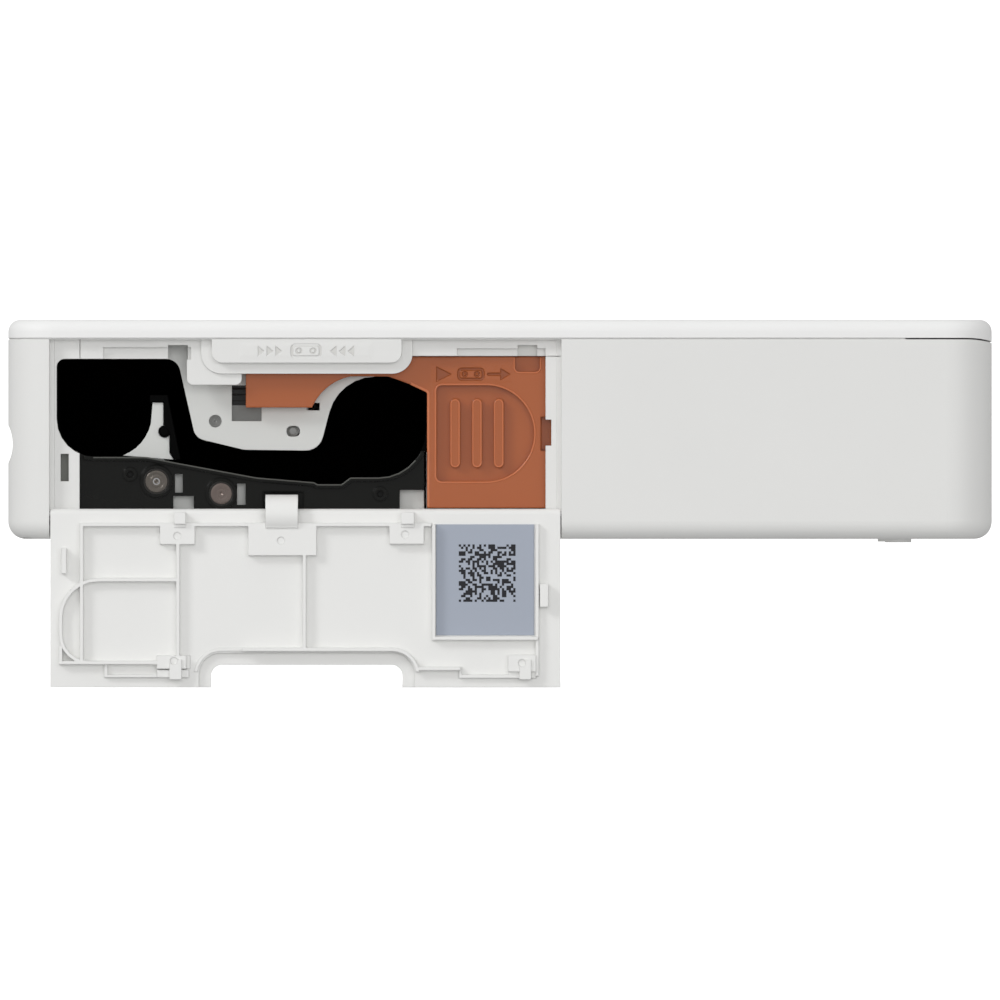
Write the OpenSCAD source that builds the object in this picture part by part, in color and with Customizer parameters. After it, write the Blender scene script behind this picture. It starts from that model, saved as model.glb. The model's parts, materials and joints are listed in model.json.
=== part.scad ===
// Compact photo printer with an open ribbon-cassette door, a hinged paper lid and its print mechanism.
// +X runs along the case towards the lid hinge, -Y is the side with the cassette door, +Z is up.
// The origin is the centre of the flat underside of the case.

/* [Case] */
// Length of the case, along X
case_l = 145.8; // [142:0.1:160]
// Width of the case, along Y
case_w = 102.2; // [100.2:0.1:112]
// Height of the closed printer above its underside
case_h = 32.9; // [32.5:0.1:38]
// Height of the lid's rim
lid_t = 3.15; // [3:0.05:3.4]
// Gap between the lid and the case
seam_gap = 0.2; // [0.1:0.05:0.4]
// Thickness of the case walls
wall = 1.6; // [1.2:0.1:1.8]
// Thickness of the case floor
floor_t = 1.8; // [1.2:0.1:2]
// Radius of the upright corners, seen from above
corner_r = 6.6; // [6:0.1:8]
// Radius along the lower edge of the case
bottom_edge_r = 2.6; // [1.5:0.1:2.9]
// Radius along the upper edge of the lid
lid_edge_r = 1.8; // [1:0.1:2.2]
// Radius of the grip groove across the paper exit end
groove_r = 5.95; // [5:0.05:7]
// Depth of the grip groove
groove_depth = 0.7; // [0.4:0.05:0.9]
// Height of the middle of the grip groove
groove_z = 14.05; // [12:0.05:16]
// Height of the paper exit slot
exit_slot_h = 1.6; // [1.2:0.1:2]

/* [Feet and screws] */
// Radius of a rubber foot
foot_r = 1.95; // [1.5:0.05:2.5]
// How far a foot stands out of the underside
foot_stand = 0.53; // [0.3:0.01:1]
// Radius of the recess round a foot
foot_recess_r = 3.35; // [2.8:0.05:4]
// Distance of a foot from the end of the case
foot_inset_x = 13.8; // [11:0.1:18]
// Distance of a foot from the side of the case
foot_inset_y = 11; // [9:0.1:15]
// Radius of a case screw's head
screw_head_r = 1.5; // [1.2:0.05:1.7]
// Radius of a case screw's shank
screw_r = 0.8; // [0.6:0.05:1]

/* [Cassette door] */
// Distance of the door from the exit end of the case
door_inset = 6.35; // [6:0.05:7]
// Length of the door, along X
door_l = 75.5; // [74.5:0.1:78]
// Height of the door above its hinge
door_h = 25.62; // [25:0.01:26]
// Thickness of the door
door_t = 1.6; // [1.4:0.1:1.7]
// Height of the hinge axis
door_hinge_z = 3.66; // [3.3:0.01:3.9]
// Gap round the door
door_gap = 0.15; // [0.1:0.05:0.3]
// Depth of the recess that the door lies in
recess_d = 1.8; // [1.75:0.05:2]
// Radius of a door hinge pin
door_pin_r = 0.45; // [0.35:0.05:0.5]
// Radial clearance of a turning pin or shaft
run_gap = 0.05; // [0.03:0.01:0.08]
// Width of the thin ribs inside the door
rib_w = 0.5; // [0.4:0.05:0.6]
// Height of the ribs and pads inside the door
rib_h = 1.2; // [0.9:0.05:1.3]

/* [Cassette bay] */
// Thickness of the case's inner panel round the bay
frame_t = 1.6; // [1.2:0.1:1.8]
// Wall of the black cassette bay
bay_wall = 0.8; // [0.6:0.05:0.9]
// Height of the top of the left lobe
bay_top = 26.67; // [26.3:0.01:26.9]
// Height of the bottom of the left lobe
bay_low = 12.16; // [12:0.01:12.4]

/* [Eject lever] */
// Travel of the eject lever
lever_travel = 4; // [2:0.1:5]
// Thickness of the eject lever
lever_t = 2.5; // [2:0.1:2.6]
// Depth of the thumb recess
thumb_d = 1.2; // [0.8:0.1:1.4]

/* [Rollers and gears] */
// Radius of the steel feed roller
feed_r = 2.4; // [2.2:0.05:2.4]
// Radius of the platen rubber
platen_r = 3.2; // [3:0.05:3.2]
// Radius of the pinch roller
pinch_r = 1.3; // [1.1:0.05:1.3]
// Radius of the pickup roller
pickup_r = 5; // [4.6:0.05:5.1]
// Radius of the feed roller's journals
feed_shaft_r = 1.6; // [1.4:0.05:1.6]
// Radius of the other shafts
shaft_r = 1.5; // [1.2:0.05:1.5]
// Wall of a roller bushing
bush_wall = 0.32; // [0.25:0.01:0.5]
// Gear module
gear_m = 0.5; // [0.48:0.01:0.52]
// Teeth of a motor pinion
pinion_teeth = 14; // [12:1:16]
// Teeth of the feed gear
feed_teeth = 22; // [20:1:22]
// Teeth of the ribbon gear
ribbon_teeth = 30; // [28:1:30]
// Teeth of the pickup gear
pickup_teeth = 30; // [26:1:30]
// Face width of the gears
gear_w = 3.5; // [2.5:0.1:3.6]
// Length of a motor
motor_l = 9; // [8:0.5:10]

/* [Lid mechanism] */
// Distance of the lid hinge from the end of the case
lid_hinge_inset = 3.75; // [3.7:0.05:4]
// Height of the lid hinge
lid_hinge_z = 15.6; // [15:0.1:17]
// Radius of the lid hinge pins
lid_pin_r = 0.75; // [0.6:0.05:0.8]
// Thickness of a lid arm
arm_t = 2; // [1.6:0.1:2]
// Thickness of the presser plate
presser_t = 1.2; // [1:0.1:1.5]
// Travel of the presser plate
presser_travel = 3; // [1:0.1:3.2]

/* [Paper tray] */
// Wall of the tray
tray_wall = 1.2; // [1:0.05:1.25]
// Height of the tray floor's upper face
tray_z = 15; // [14.8:0.1:16]

/* [Hidden] */

$fn = 48;
tiny = 0.01;
left = -case_l / 2;
right = case_l / 2;
near = -case_w / 2;
far = case_w / 2;
rim_z = case_h - lid_t - seam_gap;
lid_z = case_h - lid_t;
inner_r = corner_r - wall;

// Planes from the door side inwards
panel_y = near + recess_d;
guide_y = panel_y + frame_t + 0.1;
guide_t = 1.6;
lever_y = guide_y + 0.05;
rail_y = lever_y + lever_t + 0.1;
rail_t = 0.8;
liner_y = rail_y + 0.05;

// Planes from the far side inwards: motors, gear plate, gears, far plate and the end of the bay
plate_t = 1.2;
gear_plate_y = far - wall - 0.9 - motor_l - plate_t;
gear_y = gear_plate_y - 0.7 - gear_w;
far_plate_y = gear_y - 1 - plate_t;
bay_end_y = far_plate_y - 2;

door_x0 = left + door_inset;
door_x1 = door_x0 + door_l;
door_top = door_hinge_z + door_h;
door_hinge_y = near + door_t / 2;
door_in_y = near + door_t;
door_pin_out = door_gap + 0.75;

// The opening in the inner panel, from the door's left edge
open_x0 = door_x0 + 4.3;
open_x1 = door_x1 - 2.2;
sill_z = door_hinge_z + 0.81;
open_top = bay_top + 0.43;
tab_x0 = door_x0 + 22.3;
tab_x1 = door_x0 + 53.6;
tab_z = bay_top - 2.2;
tab_r = 3;
tab_step = 1.6;
tab_proud = 0.6;

function unit(v) = v / norm(v);
function left_of(v) = [-v[1], v[0]];
function flat(p) = [p[0], p[1]];

// A clockwise outline of [x, z, corner radius], grown outwards by d
function grown(path, d) = let (n = len(path)) [
    for (i = [0 : n - 1])
        let (
            a = flat(path[(i + n - 1) % n]), b = flat(path[i]), c = flat(path[(i + 1) % n]),
            n1 = left_of(unit(b - a)), n2 = left_of(unit(c - b)),
            moved = b + d * (n1 + n2) / (1 + n1 * n2),
            convex = cross(b - a, c - b) < 0
        )
        [moved[0], moved[1], max(0.05, path[i][2] + (convex ? d : -d))]
];

// The same outline with each corner turned into an arc
function rounded(path, steps = 6) = let (n = len(path)) [
    for (i = [0 : n - 1])
        let (
            a = flat(path[(i + n - 1) % n]), b = flat(path[i]), c = flat(path[(i + 1) % n]),
            r = path[i][2], u = unit(a - b), v = unit(c - b), half = acos(u * v) / 2,
            centre = b + unit(u + v) * r / sin(half),
            p = b + u * r / tan(half) - centre, q = b + v * r / tan(half) - centre,
            start = atan2(p[1], p[0]),
            sweep = atan2(cross(p, q), p * q)
        )
        for (k = [0 : steps]) centre + r * [cos(start + sweep * k / steps), sin(start + sweep * k / steps)]
];

// Outline of the ribbon cassette: a left lobe, a slanted ribbon channel and a right lobe
bay_x0 = door_x0 + 0.91;
bay_path = [
    [bay_x0, bay_top, 1.2],
    [bay_x0 + 17.85, bay_top, 2.1],
    [bay_x0 + 20.5, bay_low + 2.8, 2],
    [bay_x0 + 27.7, bay_low + 1.05, 3],
    [bay_x0 + 38.85, bay_low + 0.92, 2.6],
    [bay_x0 + 41.75, bay_top - 2.62, 7],
    [bay_x0 + 54.68, bay_top - 2.62, 3],
    [bay_x0 + 54.68, bay_low - 3.05, 7],
    [bay_x0 + 43.5, bay_low - 3.05, 0.7],
    [bay_x0 + 42.2, bay_low - 4.05, 0.5],
    [bay_x0 + 38.6, bay_low - 4.05, 0.5],
    [bay_x0 + 38.1, bay_low - 3.75, 0.5],
    [bay_x0 + 29.6, bay_low - 3.05, 8],
    [bay_x0 + 18.2, bay_low - 0.95, 6],
    [bay_x0 + 13.3, bay_low, 6],
    [bay_x0, bay_low, 5.6]
];

// Shaft axes, [x, z]
feed_at = [bay_x0 + 14.75, bay_low - 3.64];
platen_at = [bay_x0 + 24.35, bay_low - 5.45];
pinch_at = feed_at + [-0.1, feed_r + pinch_r + run_gap];
mesh_gap = 0.04;
function gear_r(teeth) = gear_m * teeth / 2;
function polar(r, a) = [r * cos(a), r * sin(a)];
takeup_dir = 122;
takeup_at = feed_at + polar(gear_r(feed_teeth) + gear_r(ribbon_teeth) + mesh_gap, takeup_dir);
feed_motor_dir = 40;
feed_motor_at = feed_at + polar(gear_r(feed_teeth) + gear_r(pinion_teeth) + mesh_gap, feed_motor_dir);
supply_at = [bay_x0 + 47.6, bay_low + 4.2];
pickup_at = [bay_x0 + 69.6, tray_z - 0.2 - pickup_r + 0.8];
pickup_motor_dir = 125;
pickup_motor_at = pickup_at + polar(gear_r(pickup_teeth) + gear_r(pinion_teeth) + mesh_gap, pickup_motor_dir);
head_pivot = [bay_x0 + 36.4, bay_low + 6.34];
cam_at = head_pivot + [-4.3, 7.5];
cam_low_r = 1.8;
cam_rise = 0.95;
cam_turn = 95;
motor_r = 6.5;

// Tray and lid
tray_x0 = bay_x0 + 61.6;
tray_x1 = right - 6.9;
tray_y0 = rail_y + rail_t + 0.05 + tray_wall;
tray_y1 = far_plate_y - 1.7 - tray_wall;
tray_top = rim_z - 2;
lid_hinge_x = right - lid_hinge_inset;
lid_arc_r = lid_z - lid_hinge_z;
case_arc_r = rim_z - lid_hinge_z;
arm_y = max(abs(tray_y0 - tray_wall), abs(tray_y1 + tray_wall)) + 0.3;
arm_eye_r = lid_pin_r + 0.7;
riser_x0 = lid_hinge_x - lid_arc_r - 3.2;
riser_w = 2.6;
lid_skin = 1.4;
lid_crown = 0.4;
lid_crown_w = 6.1;
lid_ceiling = case_h - lid_skin;
presser_z = rim_z - 7.55;
presser_x0 = tray_x0 + 6;
presser_x1 = tray_x1 - 12;
presser_y0 = tray_y0 + 7;
presser_y1 = tray_y1 - 7;
presser_ym = (presser_y0 + presser_y1) / 2;
post_x = [presser_x0 + 12, presser_x1 - 12];
board_z = 9.4;
board_t = 1;
board_x0 = tray_x0 + 17;
board_x1 = tray_x1 - 1;
board_y0 = tray_y0 + 30;
usb_x = board_x0 + 0.25 * (board_x1 - board_x0);
button_x = board_x0 + 0.52 * (board_x1 - board_x0);
button_z = board_z + board_t + 3.1;
button_r = 2.8;
pipe_x = [button_x + 6.5, button_x + 9.5];

module along_y(y0, y1) {
    translate([0, y1, 0]) rotate([90, 0, 0]) linear_extrude(y1 - y0) children();
}
module along_x(x0, x1) {
    translate([x0, 0, 0]) rotate([90, 0, 90]) linear_extrude(x1 - x0) children();
}
module rod_y(at, r, y0, y1) {
    translate([at[0], y1, at[1]]) rotate([90, 0, 0]) cylinder(r = r, h = y1 - y0);
}
module block(x0, x1, y0, y1, z0, z1) {
    translate([x0, y0, z0]) cube([x1 - x0, y1 - y0, z1 - z0]);
}

// A rounded section, low_r at its lower corners and high_r at its upper ones
module soft_section(w, h, low_r, high_r) {
    translate([-w / 2, low_r]) square([w, h - low_r - high_r]);
    if (low_r > 0) {
        translate([-w / 2 + low_r, 0]) square([w - 2 * low_r, low_r + tiny]);
        intersection() {
            translate([-w / 2, 0]) square([w, low_r + tiny]);
            for (side = [-1, 1]) translate([side * (w / 2 - low_r), low_r]) circle(low_r);
        }
    }
    if (high_r > 0) {
        translate([-w / 2 + high_r, h - high_r - tiny]) square([w - 2 * high_r, high_r + tiny]);
        intersection() {
            translate([-w / 2, h - high_r - tiny]) square([w, high_r + tiny]);
            for (side = [-1, 1]) translate([side * (w / 2 - high_r), h - high_r]) circle(high_r);
        }
    }
}

// A slab with round upright corners of radius r and rounded lower and upper edges
module soft_block(l, w, h, r, low_r = 0, high_r = 0) {
    rotate([90, 0, 0]) translate([0, 0, -w / 2 + r]) linear_extrude(w - 2 * r) soft_section(l, h, low_r, high_r);
    rotate([90, 0, 90]) translate([0, 0, -l / 2 + r]) linear_extrude(l - 2 * r) soft_section(w, h, low_r, high_r);
    for (sx = [-1, 1], sy = [-1, 1])
        translate([sx * (l / 2 - r), sy * (w / 2 - r), 0]) rotate_extrude() intersection() {
            soft_section(2 * r, h, low_r, high_r);
            square([r + 1, h]);
        }
}

// Tooth flank of an involute gear, as [radius, half angle] turned into points
function involute_angle(base_r, r) = let (t = sqrt(max(0, (r / base_r) * (r / base_r) - 1))) t * 180 / PI - atan(t);
function gear_points(teeth, first) =
    let (
        pr = gear_r(teeth), base_r = pr * cos(20), tip_r = pr + 0.95 * gear_m, root_r = pr - 1.2 * gear_m,
        half = 90 / teeth * 0.93 + involute_angle(base_r, pr),
        flank = [for (k = [0 : 3]) max(base_r, root_r) + (tip_r - max(base_r, root_r)) * k / 3]
    )
    [
        for (i = [0 : teeth - 1])
            let (mid = first + i * 360 / teeth)
            concat(
                [polar(root_r, mid - half)],
                [for (r = flank) polar(r, mid - half + involute_angle(base_r, r))],
                [for (k = [3 : -1 : 0]) polar(flank[k], mid + half - involute_angle(base_r, flank[k]))],
                [polar(root_r, mid + half)]
            )
    ];
function joined(lists) = [for (l = lists) for (p = l) p];
// First tooth angle of a gear that meshes with one whose first tooth is at 'from', seen along 'dir'
function meshed(from, teeth_a, teeth_b, dir) = dir + 180 + (dir - from) * teeth_a / teeth_b + 180 / teeth_b;

module gear(at, teeth, first, bore_r, y0 = gear_y, w = gear_w) {
    translate([at[0], 0, at[1]]) difference() {
        union() {
            along_y(y0, y0 + w) polygon(joined(gear_points(teeth, first)));
            rod_y([0, 0], bore_r + 0.8, y0 - 0.5, y0 + w + 0.3);
        }
        rod_y([0, 0], bore_r, y0 - 1, y0 + w + 1);
        if (teeth > 20) for (a = [0 : 60 : 300])
            rod_y(polar(gear_r(teeth) * 0.58, a), gear_r(teeth) * 0.17, y0 - 1, y0 + w + 1);
    }
}
feed_first = 0;
takeup_first = meshed(feed_first, feed_teeth, ribbon_teeth, takeup_dir);
feed_pinion_first = meshed(feed_first, feed_teeth, pinion_teeth, feed_motor_dir);
pickup_first = 0;
pickup_pinion_first = meshed(pickup_first, pickup_teeth, pinion_teeth, pickup_motor_dir);

// A wire coil along +Z with closed ends, from z = 0 to z = length
function coil_point(coil_r, length, turns, t) =
    [coil_r * cos(360 * turns * t), coil_r * sin(360 * turns * t), length * t];
module coil(wire_r, coil_r, length, turns) {
    steps = turns * 10;
    sides = 6;
    points = [
        for (i = [0 : steps], j = [0 : sides - 1])
            let (t = i / steps, c = coil_point(coil_r, length - 2 * wire_r, turns, t), a = 360 * turns * t, b = 360 * j / sides)
            c + wire_r * [cos(b) * cos(a), cos(b) * sin(a), sin(b)] + [0, 0, wire_r]
    ];
    faces = concat(
        [[for (j = [0 : sides - 1]) j]],
        [[for (j = [sides - 1 : -1 : 0]) steps * sides + j]],
        [for (i = [0 : steps - 1], j = [0 : sides - 1], k = [0, 1])
            let (here = i * sides, next = here + sides, j1 = (j + 1) % sides)
            k == 0 ? [here + j, next + j, next + j1] : [here + j, next + j1, here + j1]]
    );
    polyhedron(points, faces, convexity = 8);
}

module bay_outline(grow = 0) {
    polygon(rounded(grow == 0 ? bay_path : grown(bay_path, grow)));
}
module box2(x0, x1, z0, z1) {
    translate([x0, z0]) square([x1 - x0, z1 - z0]);
}
// A flat box with round corners
module round_box2(x0, x1, z0, z1, r) {
    box2(x0 + r, x1 - r, z0, z1);
    box2(x0, x1, z0 + r, z1 - r);
    for (x = [x0 + r, x1 - r], z = [z0 + r, z1 - r]) translate([x, z]) circle(r);
}

// Places inside the door, from its left edge, that the panel and the door share
hook_x = [[door_x0 + 18.35, door_x0 + 20.05], [door_x1 - 23.55, door_x1 - 21.65]];
hook_low = door_hinge_z - 0.3;
hook_high = door_hinge_z + 1.45;
top_hook_x = [[door_x0 + 17.65, door_x0 + 19.45], [door_x1 - 6.08, door_x1 - 4.35]];
top_hook_z = [bay_top + 0.2, open_top + 1];
catch_left_x = [door_x0 + 1.7, door_x0 + 2.4];
catch_left_z = [8.65, 12.45];
catch_right_x = [door_x1 - 3.05, door_x1 - 1.8];
catch_right_z = [13.97, 17.37];
catch_h = 1.5;
strap_x = [door_x0 + 31.85, door_x0 + 36.65];
strap_in_r = 2;
strap_out_r = 2.9;

module case_solid() {
    soft_block(case_l, case_w, rim_z, corner_r, bottom_edge_r);
}
module open_outline() {
    difference() {
        union() {
            box2(open_x0, tab_x1, sill_z, bay_top);
            box2(tab_x1 - 3, open_x1, sill_z, open_top);
            bay_outline();
        }
        tab_outline(0);
        round_box2(tab_x0 - 2.1, tab_x0 + 6, tab_z - 1.65, rim_z + 3, 0.9);
    }
}
// The far-side piece and its mirror image on the near side
module both_sides() {
    children();
    mirror([0, 1, 0]) children();
}
module screw_places() {
    for (p = screw_at) translate([p[0], p[1], 0]) children();
}
screw_at = [
    [left + 3.9, near + 4.5], [left + 4.4, far - 7.1], [right - 3.9, near + 21], [right - 3.9, far - 21]
];
module foot_places() {
    for (x = [left + foot_inset_x, right - foot_inset_x], y = [near + foot_inset_y, far - foot_inset_y])
        translate([x, y, 0]) children();
}

module bottom_case() {
    color([0.88, 0.88, 0.87]) difference() {
        union() {
            difference() {
                case_solid();
                translate([0, 0, floor_t])
                    soft_block(case_l - 2 * wall, case_w - 2 * wall, case_h, inner_r, min(1.2, inner_r / 2));
            }
            intersection() {
                case_solid();
                block(door_x0 - door_gap - wall, door_x1 + door_gap + wall, near - 1, panel_y + frame_t, 0, rim_z);
            }
            // Screw bosses and hinge bosses
            intersection() {
                case_solid();
                union() {
                    screw_places() cylinder(r = screw_head_r + 0.8, h = 9);
                    both_sides() rod_y([lid_hinge_x, lid_hinge_z], arm_eye_r, arm_y + arm_t + 0.1, far - wall / 2);
                }
            }
            // Raised base of the tab above the opening
            intersection() {
                case_solid();
                along_y(panel_y - tab_proud, panel_y + 0.1) tab_outline(0);
            }
            along_y(near, panel_y) tab_outline(tab_step);
        }
        // The recess of the door, through the lower edge, with a low rim along both sides
        difference() {
            union() {
                block(door_x0 - door_gap, door_x1 + door_gap, near - 1, panel_y - 0.1, -1, rim_z + 1);
                block(door_x0 + 0.6, door_x1 - 0.6, near - 1, panel_y, -1, rim_z + 1);
            }
            along_y(panel_y - tab_proud, panel_y + 0.1) tab_outline(0);
            along_y(near - 2, panel_y + 0.1) tab_outline(tab_step);
        }
        // The opening to the cassette bay
        along_y(panel_y - 0.1, panel_y + frame_t + 0.1) open_outline();
        // Windows and steps in the panel above the opening
        for (x = top_hook_x)
            block(x[0] - 0.25, x[1] + 0.9, panel_y - 0.1, panel_y + frame_t + 0.1, bay_top - 0.1, top_hook_z[1] + 0.6);
        block(door_x0 + 7.8, tab_x0 - 1.5, panel_y - 0.1, panel_y + 0.9, bay_top - 0.1, bay_top + 1.7);
        block(tab_x1 + 6.6, open_x1, panel_y - 0.1, panel_y + 0.9, open_top - 0.1, open_top + 1.1);
        block(open_x0, open_x0 + 0.14, panel_y - 0.1, panel_y + 0.35, bay_top - 0.1, rim_z + 1);
        block(open_x1 - 0.1, door_x1, panel_y - 0.1, panel_y + 0.35, open_top - 0.14, open_top);
        // Slots that take the door's catches, hooks and strap
        block(catch_left_x[0] - 0.2, catch_left_x[1] + 0.3, panel_y - 0.1, panel_y + frame_t + 0.1,
            catch_left_z[0] - 0.1, catch_left_z[1] + 0.15);
        block(open_x1 - 0.1, catch_right_x[1] + 0.45, panel_y - 0.1, panel_y + frame_t + 0.1,
            catch_right_z[0] - 0.15, catch_right_z[1] + 0.3);
        for (x = hook_x)
            block(x[0] - 0.25, x[1] + 0.25, panel_y - 0.1, panel_y + frame_t + 0.1, hook_low - 0.4, sill_z + 0.1);
        block(strap_x[0] - 0.25, strap_x[1] + 0.25, panel_y - 0.1, panel_y + frame_t + 0.1, 0.5, sill_z + 0.1);
        // Holes for the door pins
        along_x(door_x0 - door_pin_out - 0.05, door_x1 + door_pin_out + 0.05)
            translate([door_hinge_y, door_hinge_z]) circle(door_pin_r + run_gap, $fn = 24);
        // Grip groove and paper slot at the exit end
        rod_y([left - groove_r + groove_depth, groove_z], groove_r, near - 1, far + 1);
        block(left - 1, left + wall + 1, tray_y0 - 0.8, tray_y1 + 0.8, groove_z - exit_slot_h, groove_z);
        // Room for the lid's lip behind its hinge
        difference() {
            block(lid_hinge_x, right + 1, near - 1, far + 1, lid_hinge_z + 5, rim_z + 1);
            rod_y([lid_hinge_x, lid_hinge_z], case_arc_r, near - 2, far + 2);
        }
        // Lid pin holes, foot recesses and screw holes
        rod_y([lid_hinge_x, lid_hinge_z], lid_pin_r, near + wall, far - wall);
        foot_places() {
            translate([0, 0, -1]) cylinder(r = foot_r, h = 2);
            difference() {
                translate([0, 0, -1]) cylinder(r = foot_recess_r, h = 1.3);
                translate([0, 0, -2]) cylinder(r = foot_r + 0.5, h = 4);
            }
        }
        screw_places() {
            translate([0, 0, -1]) cylinder(r = screw_head_r + 0.15, h = 2.2);
            translate([0, 0, -1]) cylinder(r = screw_r, h = 8);
        }
        // Port, button, lights and release slot in the far side
        along_y(far - wall - 1, far + 1) {
            round_box2(usb_x - 4.75, usb_x + 4.75, board_z + board_t - 0.15, board_z + board_t + 3.45, 1.7);
            translate([button_x, button_z]) circle(button_r + 0.15);
            for (x = pipe_x) translate([x, button_z]) circle(0.85);
            round_box2(release_x - 4.2, release_x + 4.2 + release_travel, release_z - 1.45, release_z + 1.45, 1.2);
        }
    }
}
// The tab above the opening, its lower corners rounded, shrunk by 'inset'
module tab_outline(inset, top = rim_z) {
    r = tab_r - inset * 0.9;
    x0 = tab_x0 + inset;
    x1 = tab_x1 - inset;
    z0 = tab_z + inset;
    box2(x0 + r, x1 - r, z0, top);
    box2(x0, x1, z0 + r, top);
    for (x = [x0 + r, x1 - r]) translate([x, z0 + r]) circle(r);
}

module rubber_feet() {
    color([0.75, 0.75, 0.74]) foot_places()
        translate([0, 0, -foot_stand]) cylinder(r = foot_r, h = foot_stand + 1);
}
module case_screws() {
    color([0.6, 0.6, 0.62]) screw_places() difference() {
        union() {
            translate([0, 0, 0.4]) cylinder(r = screw_head_r, h = 0.8);
            translate([0, 0, 0.4]) cylinder(r = screw_r, h = 6.2);
        }
        for (a = [0, 90]) rotate([0, 0, a]) translate([-0.9, -0.18, 0]) cube([1.8, 0.36, 0.9]);
    }
}

module near_guide() {
    x0 = bay_x0 - 0.35;
    x1 = lever_x0 - 0.5;
    top = bay_low + 0.85;
    color([0.11, 0.11, 0.1]) difference() {
        union() {
            along_y(guide_y, guide_y + guide_t) difference() {
                box2(x0, x1, floor_t + 0.4, top);
                bay_outline();
                box2(x1 - 3.6, x1 + 1, 0, sill_z + 2.8);
                // Windows beside the rollers and the first hook
                box2(feed_at[0] + 2.75, feed_at[0] + 3.9, feed_at[1] - 1.65, feed_at[1] + 1.1);
                box2(platen_at[0] + 2.35, platen_at[0] + 3.6, platen_at[1] - 1.65, platen_at[1] + 1.5);
                box2(hook_x[0][0] - 0.2, hook_x[0][1] + 1.15, 0, sill_z + 1.9);
            }
            // Raised lip under the cassette's outline
            along_y(guide_y - 0.6, guide_y + 0.1) intersection() {
                difference() {
                    bay_outline(0.6);
                    bay_outline();
                }
                box2(open_x0 + 0.5, x1 - 0.1, 0, top);
            }
            rod_y(feed_at, feed_shaft_r + bush_wall + 0.5, guide_y - 0.3, guide_y + 0.1);
            rod_y(platen_at, shaft_r + bush_wall + 0.5, guide_y - 0.3, guide_y + 0.1);
            for (p = [[feed_at[0] - 3.9, feed_at[1] + 1.05], [supply_at[0] + 0.3, sill_z + 2.2]])
                rod_y(p, 1.05, guide_y - 0.45, guide_y + 0.1);
        }
        rod_y(feed_at, feed_shaft_r + bush_wall, guide_y - 1, guide_y + guide_t + 1);
        rod_y(platen_at, shaft_r + bush_wall, guide_y - 1, guide_y + guide_t + 1);
        for (p = [[feed_at[0] - 3.9, feed_at[1] + 1.05], [supply_at[0] + 0.3, sill_z + 2.2]])
            rod_y(p, 0.5, guide_y - 1, guide_y + 0.5);
        // Recess for the door's strap
        block(strap_x[0] - 0.4, strap_x[1] + 0.8, guide_y - 1, guide_y + 0.9, 0, door_hinge_z + strap_out_r + 0.4);
    }
}

// The light inner wall behind the black guide
module inner_frame() {
    color([0.82, 0.83, 0.82]) along_y(guide_y + guide_t + 0.05, rail_y) difference() {
        box2(bay_x0 - 0.35, lever_x0 - 0.5, floor_t, bay_low + 0.8);
        bay_outline(0.3);
        translate(feed_at) circle(feed_r + 0.3);
        translate(platen_at) circle(shaft_r + 0.3);
    }
}

module cassette_bay() {
    color([0.07, 0.07, 0.07]) union() {
        along_y(bay_end_y, bay_end_y + plate_t) difference() {
            bay_outline(bay_wall);
            translate(takeup_at) circle(shaft_r + 0.3);
            translate(supply_at) circle(shaft_r + 0.3);
            translate(head_pivot) circle(2.2);
        }
        for (y = [[liner_y, 0], [liner_y + head_plate_t + 0.1, 1]]) along_y(y[0], bay_end_y + 0.1) difference() {
            bay_outline(bay_wall);
            bay_outline();
            // The head plate forms this part of the edge
            if (y[1] == 0) box2(head_plate_x0 - 0.1, head_plate_x1 + 0.1, bay_low + 0.2, rim_z);
            // Open below for the rollers and above for the print head
            box2(bay_x0 + 9.6, bay_x0 + 39.1, 0, bay_low + 0.4);
            box2(bay_x0 + 21.2, bay_x0 + 38.9, bay_low - 1, bay_low + 4);
        }
        // Black rim over the ribbon fin, with a pin in the fin's side
        along_y(liner_y, bay_end_y + 0.1) {
            polygon([for (p = [
                [-0.4, fin_h + 0.05], [-0.4, fin_h + 1.1], [2.2, fin_h + 1.1], [4.1, 0.45], [3.18, 0.45],
                [2.56, 1.45], [2.56, 4.1], [1.66, 4.6], [1.66, fin_h + 0.05]
            ]) fin_at(p)]);
            translate(fin_at(fin_pin)) circle(fin_notch_r - 0.05);
        }
        rod_y(fin_at(fin_pin), 0.55, liner_y - 0.3, liner_y + 0.1);
    }
}
// A point of the fin between the left lobe and the print head
function fin_at(p) = [bay_x0 + 14.15 + p[0], bay_low - 0.8 + p[1]];
fin_h = 8.85;
fin_pin = [1.76, 4.55];
fin_notch_r = 0.9;
module fin_outline() {
    difference() {
        polygon([for (p = [
            [0, fin_h], [1.6, fin_h], [1.6, 4.5], [2.5, 4], [2.5, 1.4], [3.1, 0.4], [-4.4, 1],
            [-3.4, 1.5], [-2.5, 2.1], [-1.7, 2.9], [-1.05, 3.8], [-0.55, 4.8], [-0.25, 5.8], [-0.15, 7]
        ]) fin_at(p)]);
        translate(fin_at(fin_pin)) circle(fin_notch_r);
    }
}
module ribbon_fin() {
    color([0.75, 0.76, 0.75]) difference() {
        along_y(liner_y + 0.4, bay_end_y - 0.05) fin_outline();
        rod_y(pinch_at, pinch_r + run_gap, liner_y + 0.9, bay_end_y + 1);
    }
}

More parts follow.
